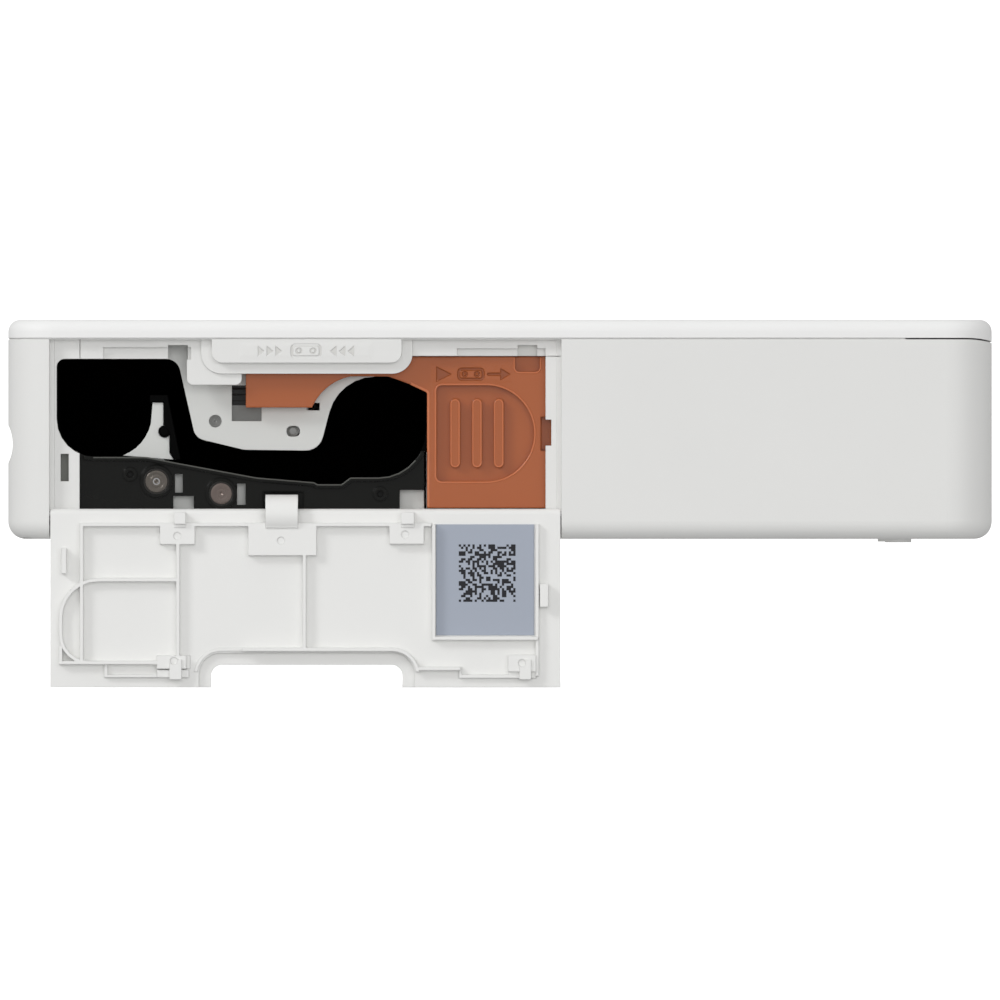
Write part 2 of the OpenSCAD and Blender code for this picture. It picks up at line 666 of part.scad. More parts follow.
head_plate_t = 1.5;
head_plate_x0 = bay_x0 + 16;
head_plate_x1 = bay_x0 + 47;
module head_plate() {
    color([0.8, 0.81, 0.8]) difference() {
        along_y(liner_y, liner_y + head_plate_t) difference() {
            box2(head_plate_x0, head_plate_x1, bay_low + 0.3, rim_z - 0.6);
            bay_outline();
            translate([bay_x0 + 23.45, bay_low + 5.3]) circle(0.93);
            box2(bay_x0 + 25.9, bay_x0 + 30.3, bay_low + 5.3, bay_low + 10.6);
            round_box2(bay_x0 + 34, bay_x0 + 36, bay_low + 3, bay_low + 4.6, 0.75);
            box2(bay_x0 + 37, bay_x0 + 38.9, bay_low + 6.9, bay_low + 8);
        }
        // Blind holes of the head's pivot and of the cam shaft
        rod_y(head_pivot, 1 + run_gap, liner_y + 0.5, liner_y + head_plate_t + 1);
        rod_y(cam_at, 0.9 + run_gap, liner_y + 0.5, liner_y + head_plate_t + 1);
    }
}

module plate_outline() {
    box2(left + 4.9, pickup_at[0] + 8, floor_t + 0.5, rim_z - 1.6);
}
module far_plate() {
    color([0.7, 0.71, 0.73]) along_y(far_plate_y, far_plate_y + plate_t) difference() {
        plate_outline();
        translate(feed_at) circle(feed_shaft_r + bush_wall);
        translate(platen_at) circle(shaft_r + bush_wall);
        for (p = [takeup_at, supply_at, pickup_at]) translate(p) circle(shaft_r + run_gap);
        translate(head_pivot) circle(1 + run_gap);
        translate(cam_at) circle(0.9 + run_gap);
        box2(supply_at[0] - 6, supply_at[0] + 6, 3.6, 9);
        box2(left + 3, left + 8.5, groove_z - 4.4, groove_z + 1);
    }
}
module gear_plate() {
    color([0.76, 0.77, 0.79]) along_y(gear_plate_y, gear_plate_y + plate_t) difference() {
        plate_outline();
        translate(feed_at) circle(feed_shaft_r + run_gap);
        for (p = [takeup_at, pickup_at]) translate(p) circle(shaft_r + run_gap);
        for (p = [feed_motor_at, pickup_motor_at]) translate(p) circle(2.2);
        box2(supply_at[0] - 9, supply_at[0] + 4, 5, 12);
    }
}
post_at = [
    [left + 7.4, 5.2], [left + 7.4, rim_z - 3.6], [supply_at[0] - 2.5, rim_z - 3.6], [pickup_at[0] - 11.5, 4.6]
];
module plate_posts() {
    color([0.78, 0.72, 0.5]) for (p = post_at) rod_y(p, 1.3, far_plate_y + plate_t, gear_plate_y);
}
module roller_bushings() {
    color([0.85, 0.82, 0.76])
        for (at = [[feed_at, feed_shaft_r], [platen_at, shaft_r]])
            for (y = [[guide_y - 0.3, guide_y + guide_t], [far_plate_y - 0.2, far_plate_y + plate_t]])
                difference() {
                    rod_y(at[0], at[1] + bush_wall, y[0], y[1]);
                    rod_y(at[0], at[1] + run_gap, y[0] - 1, y[1] + 1);
                }
}

// The eject lever lies behind the panel: pad, arm under the tab, and a hook block
lever_x0 = open_x1 - 17.5;
lever_x1 = open_x1 + 2.4;
lever_z0 = sill_z + 0.1;
lever_z1 = open_top - 0.05;
hook_x0 = bay_x0 + 28;
hook_pocket_d = 1;
pocket_d = 1.2;
pocket_r = 0.7;
spring_x0 = lever_x0 + 1.6;
spring_x1 = spring_x0 + lever_travel + 5;
spring_z = sill_z + 1.6;
module lever_outline() {
    difference() {
        union() {
            box2(lever_x0, lever_x1, lever_z0, lever_z1);
            box2(hook_x0, lever_x0 + 1, bay_top - 2.6, lever_z1);
            difference() {
                box2(hook_x0, hook_x0 + 16.6, bay_low + 7.3, bay_top - 2.55);
                translate([hook_x0 + 17, bay_low + 4.2]) circle(7.85);
            }
            polygon([
                [lever_x0 - 6, bay_top - 2.55], [lever_x0 + 0.1, bay_top - 2.55], [lever_x0 + 0.1, bay_top - 5.1],
                [lever_x0 - 0.25, bay_top - 4.8], [lever_x0 - 1, bay_top - 4.35], [lever_x0 - 4.5, bay_top - 3.05]
            ]);
        }
    }
}
// The D-shaped thumb recess
module thumb_outline() {
    r = 7.19;
    x0 = lever_x0 + 1.3;
    x1 = open_x1 - 1.5;
    mid = lever_z0 + 11.1;
    box2(x0 + 0.7, x1 - r, mid - r, mid + r);
    box2(x0, x0 + 2, mid - r + 0.7, mid + r - 0.7);
    for (z = [mid - r + 0.7, mid + r - 0.7]) translate([x0 + 0.7, z]) circle(0.7);
    translate([x1 - r, mid]) circle(r);
}
module eject_lever() {
    mid = lever_z0 + 11.1;
    color([0.65, 0.37, 0.24]) union() {
        difference() {
            along_y(lever_y, lever_y + lever_t) lever_outline();
            along_y(lever_y - 1, lever_y + thumb_d) thumb_outline();
            // Recesses for the door's hook and catch
            along_y(lever_y - 1, lever_y + hook_pocket_d)
                round_box2(open_x1 - 4.6, open_x1 - 0.7, lever_z1 - 2.4, lever_z1 + 3, 0.6);
            block(open_x1 - 0.7, lever_x1 - 0.8, lever_y - 1, lever_y + hook_pocket_d,
                catch_right_z[0] - 0.9, catch_right_z[1] + 0.7);
            // Pocket of the return spring
            block(spring_x0, spring_x1 + 1.3, lever_y + lever_t - pocket_d, lever_y + lever_t + 1,
                spring_z - pocket_r, spring_z + pocket_r);
        }
        for (i = [0 : 2])
            along_y(lever_y + 0.1, lever_y + thumb_d + 0.1)
                round_box2(lever_x0 + 3.5 + 3.24 * i, lever_x0 + 4.8 + 3.24 * i, mid - 5.1, mid + 5.1, 0.63);
    }
}
module lever_rail() {
    x0 = lever_x0 - 0.2;
    x1 = lever_x1 + lever_travel + 0.5;
    color([0.82, 0.83, 0.82]) difference() {
        union() {
            block(x0, x1, rail_y, rail_y + rail_t, lever_z0 - 1.6, lever_z1 + 1.2);
            block(x0, x1, lever_y, rail_y + 0.1, lever_z0 - 1.6, lever_z0 - 0.1);
            block(x0, x1, lever_y, rail_y + 0.1, lever_z1 + 0.1, lever_z1 + 1.2);
            // Stop of the return spring, in the lever's pocket
            block(spring_x1, spring_x1 + 1, lever_y + lever_t - pocket_d + 0.15, rail_y + 0.1,
                spring_z - pocket_r + 0.2, spring_z + pocket_r - 0.2);
        }
        along_y(rail_y - 1, rail_y + rail_t + 1) bay_outline(bay_wall + 0.1);
    }
}
// The return spring lies along X in the lever's pocket, against the rail's stop
module eject_spring() {
    color([0.72, 0.72, 0.74])
        translate([spring_x0, lever_y + lever_t - pocket_d / 2, spring_z]) rotate([0, 90, 0])
            coil(0.15, 0.42, spring_x1 - spring_x0, 8);
}

module paper_tray() {
    y0 = tray_y0 - tray_wall;
    y1 = tray_y1 + tray_wall;
    floor_z = tray_z - tray_wall;
    color([0.2, 0.2, 0.2]) difference() {
        union() {
            block(tray_x0, tray_x1, y0, y1, floor_z, tray_top);
            block(pickup_at[0] - 4, pickup_at[0] + 4, y0, y0 + tray_wall, pickup_at[1] - 3.5, floor_z + 0.1);
        }
        block(tray_x0 - 1, tray_x1 - tray_wall, tray_y0, tray_y1, tray_z, tray_top + 1);
        // Window of the pickup roller
        block(pickup_at[0] - pickup_r - 0.7, pickup_at[0] + pickup_r + 0.7, pickup_y0 - 0.8, pickup_y1 + 0.8,
            floor_z - 1, tray_z + 1);
        rod_y(pickup_at, shaft_r + run_gap, y0 - 1, y0 + tray_wall + 1);
        // Thumb bites in both side walls
        for (y = [y0 - 1, tray_y1 - 1])
            rod_y([(tray_x0 + tray_x1) / 2 + 6, tray_top + 4], 12, y, y + tray_wall + 2);
    }
}
pickup_y0 = (tray_y0 + tray_y1) / 2 - 11;
pickup_y1 = (tray_y0 + tray_y1) / 2 + 11;

// Lower paper guide from the tray to the platen, and from the feed roller to the exit slot
function below(points, t) = [for (i = [len(points) - 1 : -1 : 0]) points[i] - [0, t]];
module paper_chute() {
    into = [
        [tray_x0 - 0.2, tray_z - 0.1], [tray_x0 - 3, tray_z - 2.2], [tray_x0 - 6.5, tray_z - 6],
        [tray_x0 - 10.5, tray_z - 7.7], [tray_x0 - 18, tray_z - 8.5], [platen_at[0] + 4.6, platen_at[1] + 1.6]
    ];
    out = [[feed_at[0] - 3.2, feed_at[1] + 1.2], [left + 7.5, groove_z - 2.4], [left + wall + 0.1, groove_z - 1.7]];
    color([0.13, 0.13, 0.13]) {
        along_y(tray_y0, tray_y1) {
            polygon(concat(into, below(into, 1)));
            polygon(concat(out, below(out, 1)));
        }
        // Feet of the two guides
        for (foot = [[tray_x0 - 17, tray_z - 9], [left + 9.5, groove_z - 4.2]])
            block(foot[0], foot[0] + 1.2, tray_y0, tray_y1, floor_t, foot[1]);
    }
}

module battery_pack() {
    l = board_x1 - board_x0 - 4;
    w = 0.61 * (tray_y1 - tray_y0);
    mid = [(board_x0 + board_x1) / 2, tray_y0 + 4 + w / 2];
    color([0.18, 0.2, 0.24]) union() {
        translate([mid[0], mid[1], floor_t + 0.2]) soft_block(l, w, 5.6, 2.2, 1, 1);
        block(mid[0] - 6, mid[0] + 6, mid[1] + w / 2 - 0.1, mid[1] + w / 2 + 2.5, floor_t + 1, floor_t + 4.6);
    }
}
module main_board() {
    color([0.1, 0.32, 0.18]) difference() {
        block(board_x0, board_x1, board_y0, far - wall - 1.7, board_z, board_z + board_t);
        for (x = [board_x0 + 3, board_x1 - 3], y = [board_y0 + 3, far - wall - 4])
            translate([x, y, board_z - 1]) cylinder(r = 1.2, h = board_t + 2);
    }
}
module board_parts() {
    top = board_z + board_t;
    color([0.12, 0.12, 0.13]) {
        block(board_x0 + 8, board_x0 + 20, tray_y1 - 30, tray_y1 - 18, top, top + 1.2);
        block(board_x1 - 26, board_x1 - 18, tray_y1 - 26, tray_y1 - 16, top, top + 1);
        block(board_x0 + 6, board_x0 + 12, tray_y1 - 12, tray_y1 - 7, top, top + 1.8);
        block(board_x1 - 14, board_x1 - 8, tray_y1 - 14, tray_y1 - 9, top, top + 1.6);
        // Switch behind the power button
        block(button_x - 3, button_x + 3, far - wall - 5.1, far - wall - 2.3, top, top + 5.2);
        for (i = [0 : 4])
            translate([usb_x + 8 + i * 3.2, tray_y1 - 8, top]) cylinder(r = 1.2, h = 2);
    }
}
module usb_port() {
    z = board_z + board_t;
    color([0.74, 0.75, 0.77]) difference() {
        along_y(far - wall - 6.8, far - 0.3) round_box2(usb_x - 4.5, usb_x + 4.5, z, z + 3.2, 1.55);
        along_y(far - wall - 6, far) round_box2(usb_x - 4.2, usb_x + 4.2, z + 0.3, z + 2.9, 1.25);
    }
    color([0.1, 0.1, 0.1]) block(usb_x - 3.2, usb_x + 3.2, far - wall - 6.2, far - 1.4, z + 1.25, z + 1.95);
}
module light_pipes() {
    color([0.9, 0.95, 0.97]) for (x = pipe_x) {
        rod_y([x, button_z], 0.85, far - wall, far + 0.05);
        rod_y([x, button_z], 1.2, far - wall - 3, far - wall);
    }
}
module motor(at) {
    color([0.62, 0.63, 0.66]) difference() {
        union() {
            rod_y(at, motor_r, gear_plate_y + plate_t, gear_plate_y + plate_t + motor_l - 0.8);
            rod_y(at, 2.1, gear_plate_y + 0.2, gear_plate_y + plate_t + 0.1);
            rod_y(at, 2.4, gear_plate_y + plate_t + motor_l - 1, gear_plate_y + plate_t + motor_l);
        }
        rod_y(at, 0.8, gear_plate_y - 1, gear_plate_y + plate_t + motor_l - 3);
    }
}
module feed_motor() {
    motor(feed_motor_at);
}
module pickup_motor() {
    motor(pickup_motor_at);
}
module motor_pinion(at, first) {
    color([0.83, 0.78, 0.6]) union() {
        gear(at, pinion_teeth, first, 0.6);
        rod_y(at, 0.75, gear_y + gear_w, gear_plate_y + plate_t + motor_l - 3.2);
        rod_y(at, 0.65, gear_y - 0.4, gear_y + gear_w + 0.1);
    }
}
module feed_pinion() {
    motor_pinion(feed_motor_at, feed_pinion_first);
}
module pickup_pinion() {
    motor_pinion(pickup_motor_at, pickup_pinion_first);
}
module lid_hinge_pins() {
    color([0.7, 0.7, 0.72]) both_sides()
        rod_y([lid_hinge_x, lid_hinge_z], lid_pin_r, arm_y - 0.2, far - wall);
}

// The door is drawn closed and then turned down about its hinge
module turned_down() {
    translate([0, door_hinge_y, door_hinge_z]) rotate([180, 0, 0]) translate([0, -door_hinge_y, -door_hinge_z]) children();
}
// A rib or pad on the inner face of the closed door
module door_rib(x0, x1, z0, z1, h = rib_h) {
    block(x0, x1, door_in_y - 0.2, door_in_y + h, z0, z1);
}
lobe_rib = [
    [door_x0 + 1.3, bay_top - 0.8, 4.4], [door_x0 + 25, bay_top - 0.8, 1],
    [door_x0 + 25, bay_low + 0.95, 1], [door_x0 + 1.3, bay_low + 0.95, 5.8]
];
// A quarter of a round rib on the door beside a corner of the tab
module corner_rib(x, side, h) {
    r = tab_r + 0.55;
    along_y(door_in_y - 0.2, door_in_y + h) intersection() {
        difference() {
            translate([x, tab_z + tab_r]) circle(r + rib_w);
            translate([x, tab_z + tab_r]) circle(r);
        }
        translate([x + side * 3, tab_z + 0.3]) square([6, 4.4], center = true);
    }
}
module cassette_door() {
    d = door_x0;
    e = door_x1;
    color([0.93, 0.93, 0.92]) turned_down() difference() {
        union() {
            block(door_x0, door_x1, near, door_in_y, door_hinge_z, door_top);
            along_x(door_x0, door_x1) translate([door_hinge_y, door_hinge_z]) circle(door_t / 2);
            // Rib with two large arcs before the left lobe of the cassette
            along_y(door_in_y - 0.1, door_in_y + rib_h) intersection() {
                difference() {
                    polygon(rounded(lobe_rib));
                    polygon(rounded(grown(lobe_rib, -rib_w)));
                }
                box2(d, d + 18.8, bay_low, bay_top);
            }
            door_rib(d + 1.3, d + 1.3 + rib_w, bay_top - 3.6, bay_top - 0.8);
            door_rib(d + 1.3, d + 6, bay_top - 0.8 - rib_w, bay_top - 0.8);
            // Top rib, side ribs and the ribs round the label
            door_rib(d + 4.4, e - 19.1, door_hinge_z + 1.29, door_hinge_z + 1.29 + rib_w);
            door_rib(d + 4.4, d + 4.4 + rib_w, door_hinge_z + 1.29, bay_top - 1.3);
            door_rib(d + 18.65, d + 18.65 + rib_w, door_hinge_z + 4.4, bay_top - 2);
            door_rib(d + 37.36, d + 37.36 + rib_w, door_hinge_z + 6, bay_top - 3.2);
            door_rib(d + 28.45, tab_x1 - tab_r, tab_z - 0.55 - rib_w, tab_z - 0.55);
            door_rib(tab_x0 + tab_r, d + 28.45, tab_z - 0.55 - rib_w, tab_z - 0.55, 0.12);
            corner_rib(tab_x0 + tab_r, -1, 0.12);
            corner_rib(tab_x1 - tab_r, 1, rib_h);
            door_rib(tab_x1 + 0.4, e - 14.8, open_top - 0.85, open_top - 0.35);
            door_rib(e - 15, e - 14.6, open_top - 0.85, open_top + 0.8, 0.7);
            door_rib(e - 19, e - 19 + rib_w, door_hinge_z + 1.45, tab_z - 2.7);
            door_rib(e - 19, e - 3.3, tab_z - 2.7, tab_z - 2.7 + rib_w);
            door_rib(e - 3.7, e - 3.7 + rib_w, door_hinge_z + 1.45, open_top + 0.5, 0.9);
            door_rib(e - 14.8, e - 3.6, open_top + 0.3, open_top + 0.3 + rib_w, 0.7);
            door_rib(d + 8, d + 8 + rib_w, bay_top - 0.8, bay_top + 1.13, 0.7);
            door_rib(d + 8, d + 19.9, bay_top + 0.75, bay_top + 1.13, 0.7);
            // Pads
            door_rib(d + 15.8, d + 20.1, bay_top - 2.1, bay_top - 0.15);
            door_rib(d + 15.8, d + 20.5, bay_top, bay_top + 1.13, 0.85);
            door_rib(d + 20.1, d + 20.7, bay_top - 2.1, bay_top - 0.15, 0.12);
            door_rib(d + 16.25, d + 21.4, door_hinge_z + 1.6, door_hinge_z + 4.45);
            door_rib(d + 29.3, d + 39.4, door_hinge_z + 1.45, door_hinge_z + 6.1);
            door_rib(e - 25.3, e - 20.2, door_hinge_z + 1.6, door_hinge_z + 4.4);
            door_rib(e - 7.75, e - 3.65, tab_z, open_top - 0.15);
            door_rib(e - 7.75, e - 3.65, open_top - 0.3, open_top + 0.6, 0.7);
            // Hooks at the hinge edge and at the free edge
            for (x = hook_x) {
                door_rib(x[0], x[1], hook_low, hook_high, 1.9);
                door_rib(x[0], x[1], hook_high - 0.6, hook_high + 0.5, 1.3);
            }
            for (x = top_hook_x) door_rib(x[0], x[1], bay_top - 1.5, top_hook_z[1], 1.5);
            // Catches at both ends
            door_rib(catch_left_x[0], catch_left_x[1], catch_left_z[0], catch_left_z[1], catch_h);
            door_rib(catch_right_x[0], catch_right_x[1], catch_right_z[0], catch_right_z[1], catch_h);
            // Check strap, a hook round the hinge axis
            along_x(strap_x[0], strap_x[1]) strap_section();
        }
        // Notch for the tab, and the thinner band along it
        along_y(near - 1, door_in_y + 3) tab_outline(tab_step - 0.1, rim_z + 1);
        along_y(door_in_y - tab_proud - 0.15, door_in_y + 3) tab_outline(-0.3);
        // Ejector marks in the pads
        for (p = [
            [d + 34.15, door_hinge_z + 3.9], [d + 18.8, door_hinge_z + 3.2], [e - 23, door_hinge_z + 3],
            [d + 18.3, bay_top - 1.3], [e - 5.7, tab_z + 1.2]
        ]) rod_y(p, 0.55, door_in_y + rib_h - 0.12, door_in_y + 3);
        for (x = [door_x0, door_x1])
            along_x(x - 2.5, x + 2.5) translate([door_hinge_y, door_hinge_z]) circle(door_pin_r, $fn = 24);
    }
}
// Section of the check strap in Y and Z: an arc from the pad round to the underside
module strap_section() {
    reach = strap_out_r + 1;
    difference() {
        translate([door_hinge_y, door_hinge_z]) circle(strap_out_r);
        translate([door_hinge_y, door_hinge_z]) circle(strap_in_r);
        // Kept from 135 degrees above the outward side to just past straight down
        translate([door_hinge_y, door_hinge_z]) polygon([
            [0, 0], [reach, reach], [reach, 2 * reach], [-2 * reach, 2 * reach], [-2 * reach, -2 * reach],
            [-0.2, -2 * reach]
        ]);
    }
    box2(door_in_y - 0.1, door_hinge_y + 2.25, door_hinge_z + 1.3, door_hinge_z + 2);
}
module door_pins() {
    pin_in = 2.5;
    color([0.7, 0.7, 0.72]) turned_down()
        for (x = [[door_x0 - door_pin_out, door_x0 + pin_in], [door_x1 - pin_in, door_x1 + door_pin_out]])
            along_x(x[0], x[1]) translate([door_hinge_y, door_hinge_z]) circle(door_pin_r, $fn = 24);
}
module door_label() {
    color([0.66, 0.7, 0.75]) turned_down()
        block(door_x1 - 18.4, door_x1 - 3.9, door_in_y, door_in_y + 0.12, door_hinge_z + 1.5, tab_z - 2.9);
}

module crown_section(w) {
    polygon([
        [-w / 2 + lid_edge_r, 0], [w / 2 - lid_edge_r, 0],
        [w / 2 - lid_crown_w, lid_crown + tiny], [-w / 2 + lid_crown_w, lid_crown + tiny]
    ]);
}
module crown() {
    x = case_l / 2 - corner_r;
    y = case_w / 2 - corner_r;
    translate([0, y, 0]) rotate([90, 0, 0]) linear_extrude(2 * y) crown_section(case_l);
    translate([-x, 0, 0]) rotate([90, 0, 90]) linear_extrude(2 * x) crown_section(case_w);
    for (sx = [-x, x], sy = [-y, y]) translate([sx, sy, 0])
        cylinder(r1 = corner_r - lid_edge_r, r2 = corner_r - lid_crown_w, h = lid_crown + tiny);
}
module paper_lid() {
    color([0.94, 0.94, 0.93]) difference() {
        union() {
            difference() {
                translate([0, 0, lid_z]) soft_block(case_l, case_w, lid_t - lid_crown, corner_r, 0, lid_edge_r);
                // Crown: the top rises a little over its outer band
                translate([0, 0, case_h - lid_crown - tiny]) crown();
                translate([0, 0, lid_z - 1])
                    soft_block(case_l - 2 * wall - 0.6, case_w - 2 * wall - 0.6, lid_t + 1 - lid_skin, inner_r - 0.3, 0, 0.8);
            }
            // Lip behind the hinge, outside an arc round its axis
            intersection() {
                translate([0, 0, lid_hinge_z]) soft_block(case_l, case_w, lid_z - lid_hinge_z + 1.5, corner_r);
                difference() {
                    block(lid_hinge_x, right + 1, near - 1, far + 1, lid_hinge_z + 5, lid_z + 1);
                    rod_y([lid_hinge_x, lid_hinge_z], lid_arc_r, near - 2, far + 2);
                }
            }
            // Gooseneck arms
            both_sides() {
                block(riser_x0, riser_x0 + riser_w, arm_y, arm_y + arm_t, lid_hinge_z - 1.3, lid_ceiling + 0.3);
                block(riser_x0, lid_hinge_x, arm_y, arm_y + arm_t, lid_hinge_z - 1.3, lid_hinge_z + 1.3);
                rod_y([lid_hinge_x, lid_hinge_z], arm_eye_r, arm_y, arm_y + arm_t);
                block(riser_x0 + riser_w - 0.1, riser_x0 + 9, arm_y, arm_y + 1, lid_z + 0.2, lid_ceiling + 0.3);
            }
            // Guides of the presser plate
            for (x = post_x)
                translate([x, presser_ym, rim_z - 3.2]) cylinder(r = 2.3, h = lid_ceiling - rim_z + 3.5);
            // Stiffening ribs
            for (y = [presser_y0 - 5, presser_y1 + 3])
                block(left + 12, lid_hinge_x - 22, y, y + 0.9, lid_z + 0.1, lid_ceiling + 0.3);
            // Catch for the release slide
            block(release_x - 3, release_x + 1, far - wall - 4.2, far - wall - 2.2, release_z + 0.6, lid_ceiling + 0.3);
            block(release_x - 3, release_x + 1.6, far - wall - 4.2, far - wall - 2.2, release_z + 0.6, release_z + 1.6);
        }
        for (x = post_x)
            translate([x, presser_ym, rim_z - 4]) cylinder(r = 1.3 + run_gap, h = lid_ceiling - rim_z + 3.9);
        rod_y([lid_hinge_x, lid_hinge_z], lid_pin_r + run_gap, -far, far);
    }
}
module presser_springs() {
    color([0.72, 0.72, 0.74]) for (x = post_x)
        translate([x, presser_ym, presser_z + presser_t]) coil(0.25, 2.9, lid_ceiling - presser_z - presser_t, 5);
}
module presser_plate() {
    color([0.24, 0.24, 0.25]) union() {
        translate([(presser_x0 + presser_x1) / 2, presser_ym, presser_z])
            soft_block(presser_x1 - presser_x0, presser_y1 - presser_y0, presser_t, 4);
        for (x = post_x)
            translate([x, presser_ym, presser_z + presser_t - 0.1])
                cylinder(r = 1.3, h = lid_ceiling - presser_z - presser_t - presser_travel - 0.3);
        for (y = [presser_y0 + 6, presser_y1 - 7])
            block(presser_x0 + 4, presser_x1 - 4, y, y + 1, presser_z + presser_t - 0.1, presser_z + presser_t + 1.2);
    }
}
module presser_pads() {
    color([0.45, 0.42, 0.4]) for (y = [presser_ym - 16, presser_ym + 8])
        block(presser_x0 + 1.5, presser_x0 + 9.5, y, y + 8, presser_z - 0.6, presser_z);
}

button_travel = 0.4;
module power_button() {
    color([0.93, 0.93, 0.92]) union() {
        rod_y([button_x, button_z], button_r, far - wall - 0.3, far + 0.5);
        rod_y([button_x, button_z], button_r + 0.6, far - wall - 1, far - wall - 0.25);
        rod_y([button_x, button_z], 1, far - wall - 1.55 + button_travel - 0.35, far - wall - 0.9);
    }
}
release_x = left + 15;
release_z = rim_z - 5.5;
release_travel = 2.5;
module release_slide() {
    y_in = far - wall - 0.3;
    color([0.93, 0.93, 0.92]) difference() {
        union() {
            along_y(y_in - 0.1, far + 0.5)
                round_box2(release_x - 4, release_x + 4, release_z - 1.25, release_z + 1.25, 1.1);
            block(release_x - 6.6, release_x + 7.5, y_in - 1.3, y_in, release_z - 2.4, release_z + 2.4);
            block(release_x + 2.2, release_x + 5, y_in - 4.2, y_in - 1.2, release_z - 1.5, release_z + 0.4);
        }
        for (i = [-2 : 2])
            block(release_x + i * 1.3 - 0.2, release_x + i * 1.3 + 0.2, far + 0.2, far + 1, release_z - 2, release_z + 2);
    }
}

module feed_roller() {
    color([0.66, 0.66, 0.68]) difference() {
        union() {
            rod_y(feed_at, feed_r, guide_y + guide_t + 0.6, far_plate_y - 0.6);
            rod_y(feed_at, feed_shaft_r, guide_y - 0.25, gear_plate_y + plate_t);
        }
        // Turned ring and centre hole in the near end
        difference() {
            rod_y(feed_at, feed_shaft_r * 0.72, guide_y - 1, guide_y);
            rod_y(feed_at, feed_shaft_r * 0.47, guide_y - 2, guide_y + 1);
        }
        rod_y(feed_at, feed_shaft_r * 0.18, guide_y - 1, guide_y + 0.2);
    }
}
module feed_gear() {
    color([0.9, 0.9, 0.86]) gear(feed_at, feed_teeth, feed_first, feed_shaft_r);
}
module platen_roller() {
    color([0.16, 0.16, 0.17]) difference() {
        rod_y(platen_at, platen_r, tray_y0 - 0.5, bay_end_y - 0.5);
        rod_y(platen_at, shaft_r, tray_y0 - 2, bay_end_y + 1);
    }
}
module platen_shaft() {
    color([0.72, 0.62, 0.56]) difference() {
        rod_y(platen_at, shaft_r, guide_y - 0.25, far_plate_y + plate_t + 0.3);
        rod_y(platen_at, shaft_r * 0.17, guide_y - 1, guide_y + 0.2);
        difference() {
            rod_y(platen_at, shaft_r * 0.62, guide_y - 1, guide_y - 0.13);
            rod_y(platen_at, shaft_r * 0.52, guide_y - 2, guide_y);
        }
    }
}
module pinch_roller() {
    color([0.55, 0.55, 0.57]) rod_y(pinch_at, pinch_r, liner_y + 1, bay_end_y - 1);
}
// A drive dog with four fins on a shaft
module spindle(at, shaft_end) {
    union() {
        rod_y(at, shaft_r, bay_end_y - 6, shaft_end);
        for (a = [0, 90])
            translate([at[0], 0, at[1]]) rotate([0, a, 0]) block(-2.6, 2.6, bay_end_y - 6, bay_end_y - 0.4, -0.5, 0.5);
        rod_y(at, 2.9, bay_end_y - 1.2, bay_end_y - 0.3);
    }
}
module takeup_spindle() {
    color([0.86, 0.86, 0.84]) spindle(takeup_at, gear_plate_y + plate_t);
}
module takeup_gear() {
    color([0.9, 0.9, 0.86]) gear(takeup_at, ribbon_teeth, takeup_first, shaft_r);
}
module supply_spindle() {
    color([0.86, 0.86, 0.84]) union() {
        spindle(supply_at, far_plate_y + plate_t + 0.2);
        rod_y(supply_at, 3, far_plate_y + plate_t + 0.1, far_plate_y + plate_t + 1);
    }
}
module pickup_roller() {
    color([0.2, 0.2, 0.21]) difference() {
        rod_y(pickup_at, pickup_r, pickup_y0, pickup_y1);
        rod_y(pickup_at, shaft_r, pickup_y0 - 1, pickup_y1 + 1);
        block(pickup_at[0] - 6, pickup_at[0] + 6, pickup_y0 - 1, pickup_y1 + 1, tray_z - 0.2, tray_z + 5);
    }
}
module pickup_shaft() {
    color([0.7, 0.7, 0.72]) rod_y(pickup_at, shaft_r, tray_y0 - tray_wall + 0.1, gear_plate_y + plate_t);
}
module pickup_gear() {
    color([0.9, 0.9, 0.86]) gear(pickup_at, pickup_teeth, pickup_first, shaft_r);
}

// The print head swings on a pivot beside the right lobe
module head_sink() {
    p = head_pivot;
    top = cam_at[1] - cam_low_r - 0.1;
    y0 = liner_y + 1.8;
    y1 = bay_end_y - 0.4;
    color([0.7, 0.71, 0.72]) {
        along_y(y0, y1) difference() {
            union() {
                polygon([
                    p + [-14.4, -3.1], p + [-14.4, -0.9], p + [-10.7, -0.4], p + [-10.7, 1], p + [-6.9, 1],
                    [p[0] - 6.9, top], [p[0] - 2, top], p + [0.8, 2.2],
                    p + [0.8, -2.6], p + [-2, -3.1]
                ]);
                for (i = [0 : 3]) box2(p[0] - 14.2 + i * 1.9, p[0] - 13.3 + i * 1.9, p[1] - 1, top - 1.2);
            }
            translate(p) circle(1);
        }
        rod_y(p, 1, liner_y + 0.6, far_plate_y + plate_t);
    }
}
module head_strip() {
    p = head_pivot;
    color([0.85, 0.83, 0.76]) along_y(liner_y + 2.4, bay_end_y - 1)
        polygon([
            p + [-15, -3.15], p + [-3, -3.15], p + [-3, -3.6], p + [-12.6, -3.6], p + [-13.3, -4.05], p + [-14.3, -4.05],
            p + [-15, -3.6]
        ]);
}
// Two spiral cams on a shaft press the head down as they turn
module lift_cams() {
    color([0.88, 0.87, 0.84]) union() {
        rod_y(cam_at, 0.9, liner_y + 0.6, far_plate_y + plate_t);
        for (y = [liner_y + 2.5, bay_end_y - 6.5])
            translate([cam_at[0], 0, cam_at[1]]) along_y(y, y + 5) polygon(concat(
                [for (a = [0 : 5 : cam_turn]) polar(cam_low_r + cam_rise * a / cam_turn, -90 - a)],
                [polar(cam_low_r, -90 - cam_turn - 15)],
                [for (a = [cam_turn + 25 : 15 : 350]) polar(cam_low_r - 0.2, -90 - a)]
            ));
    }
}

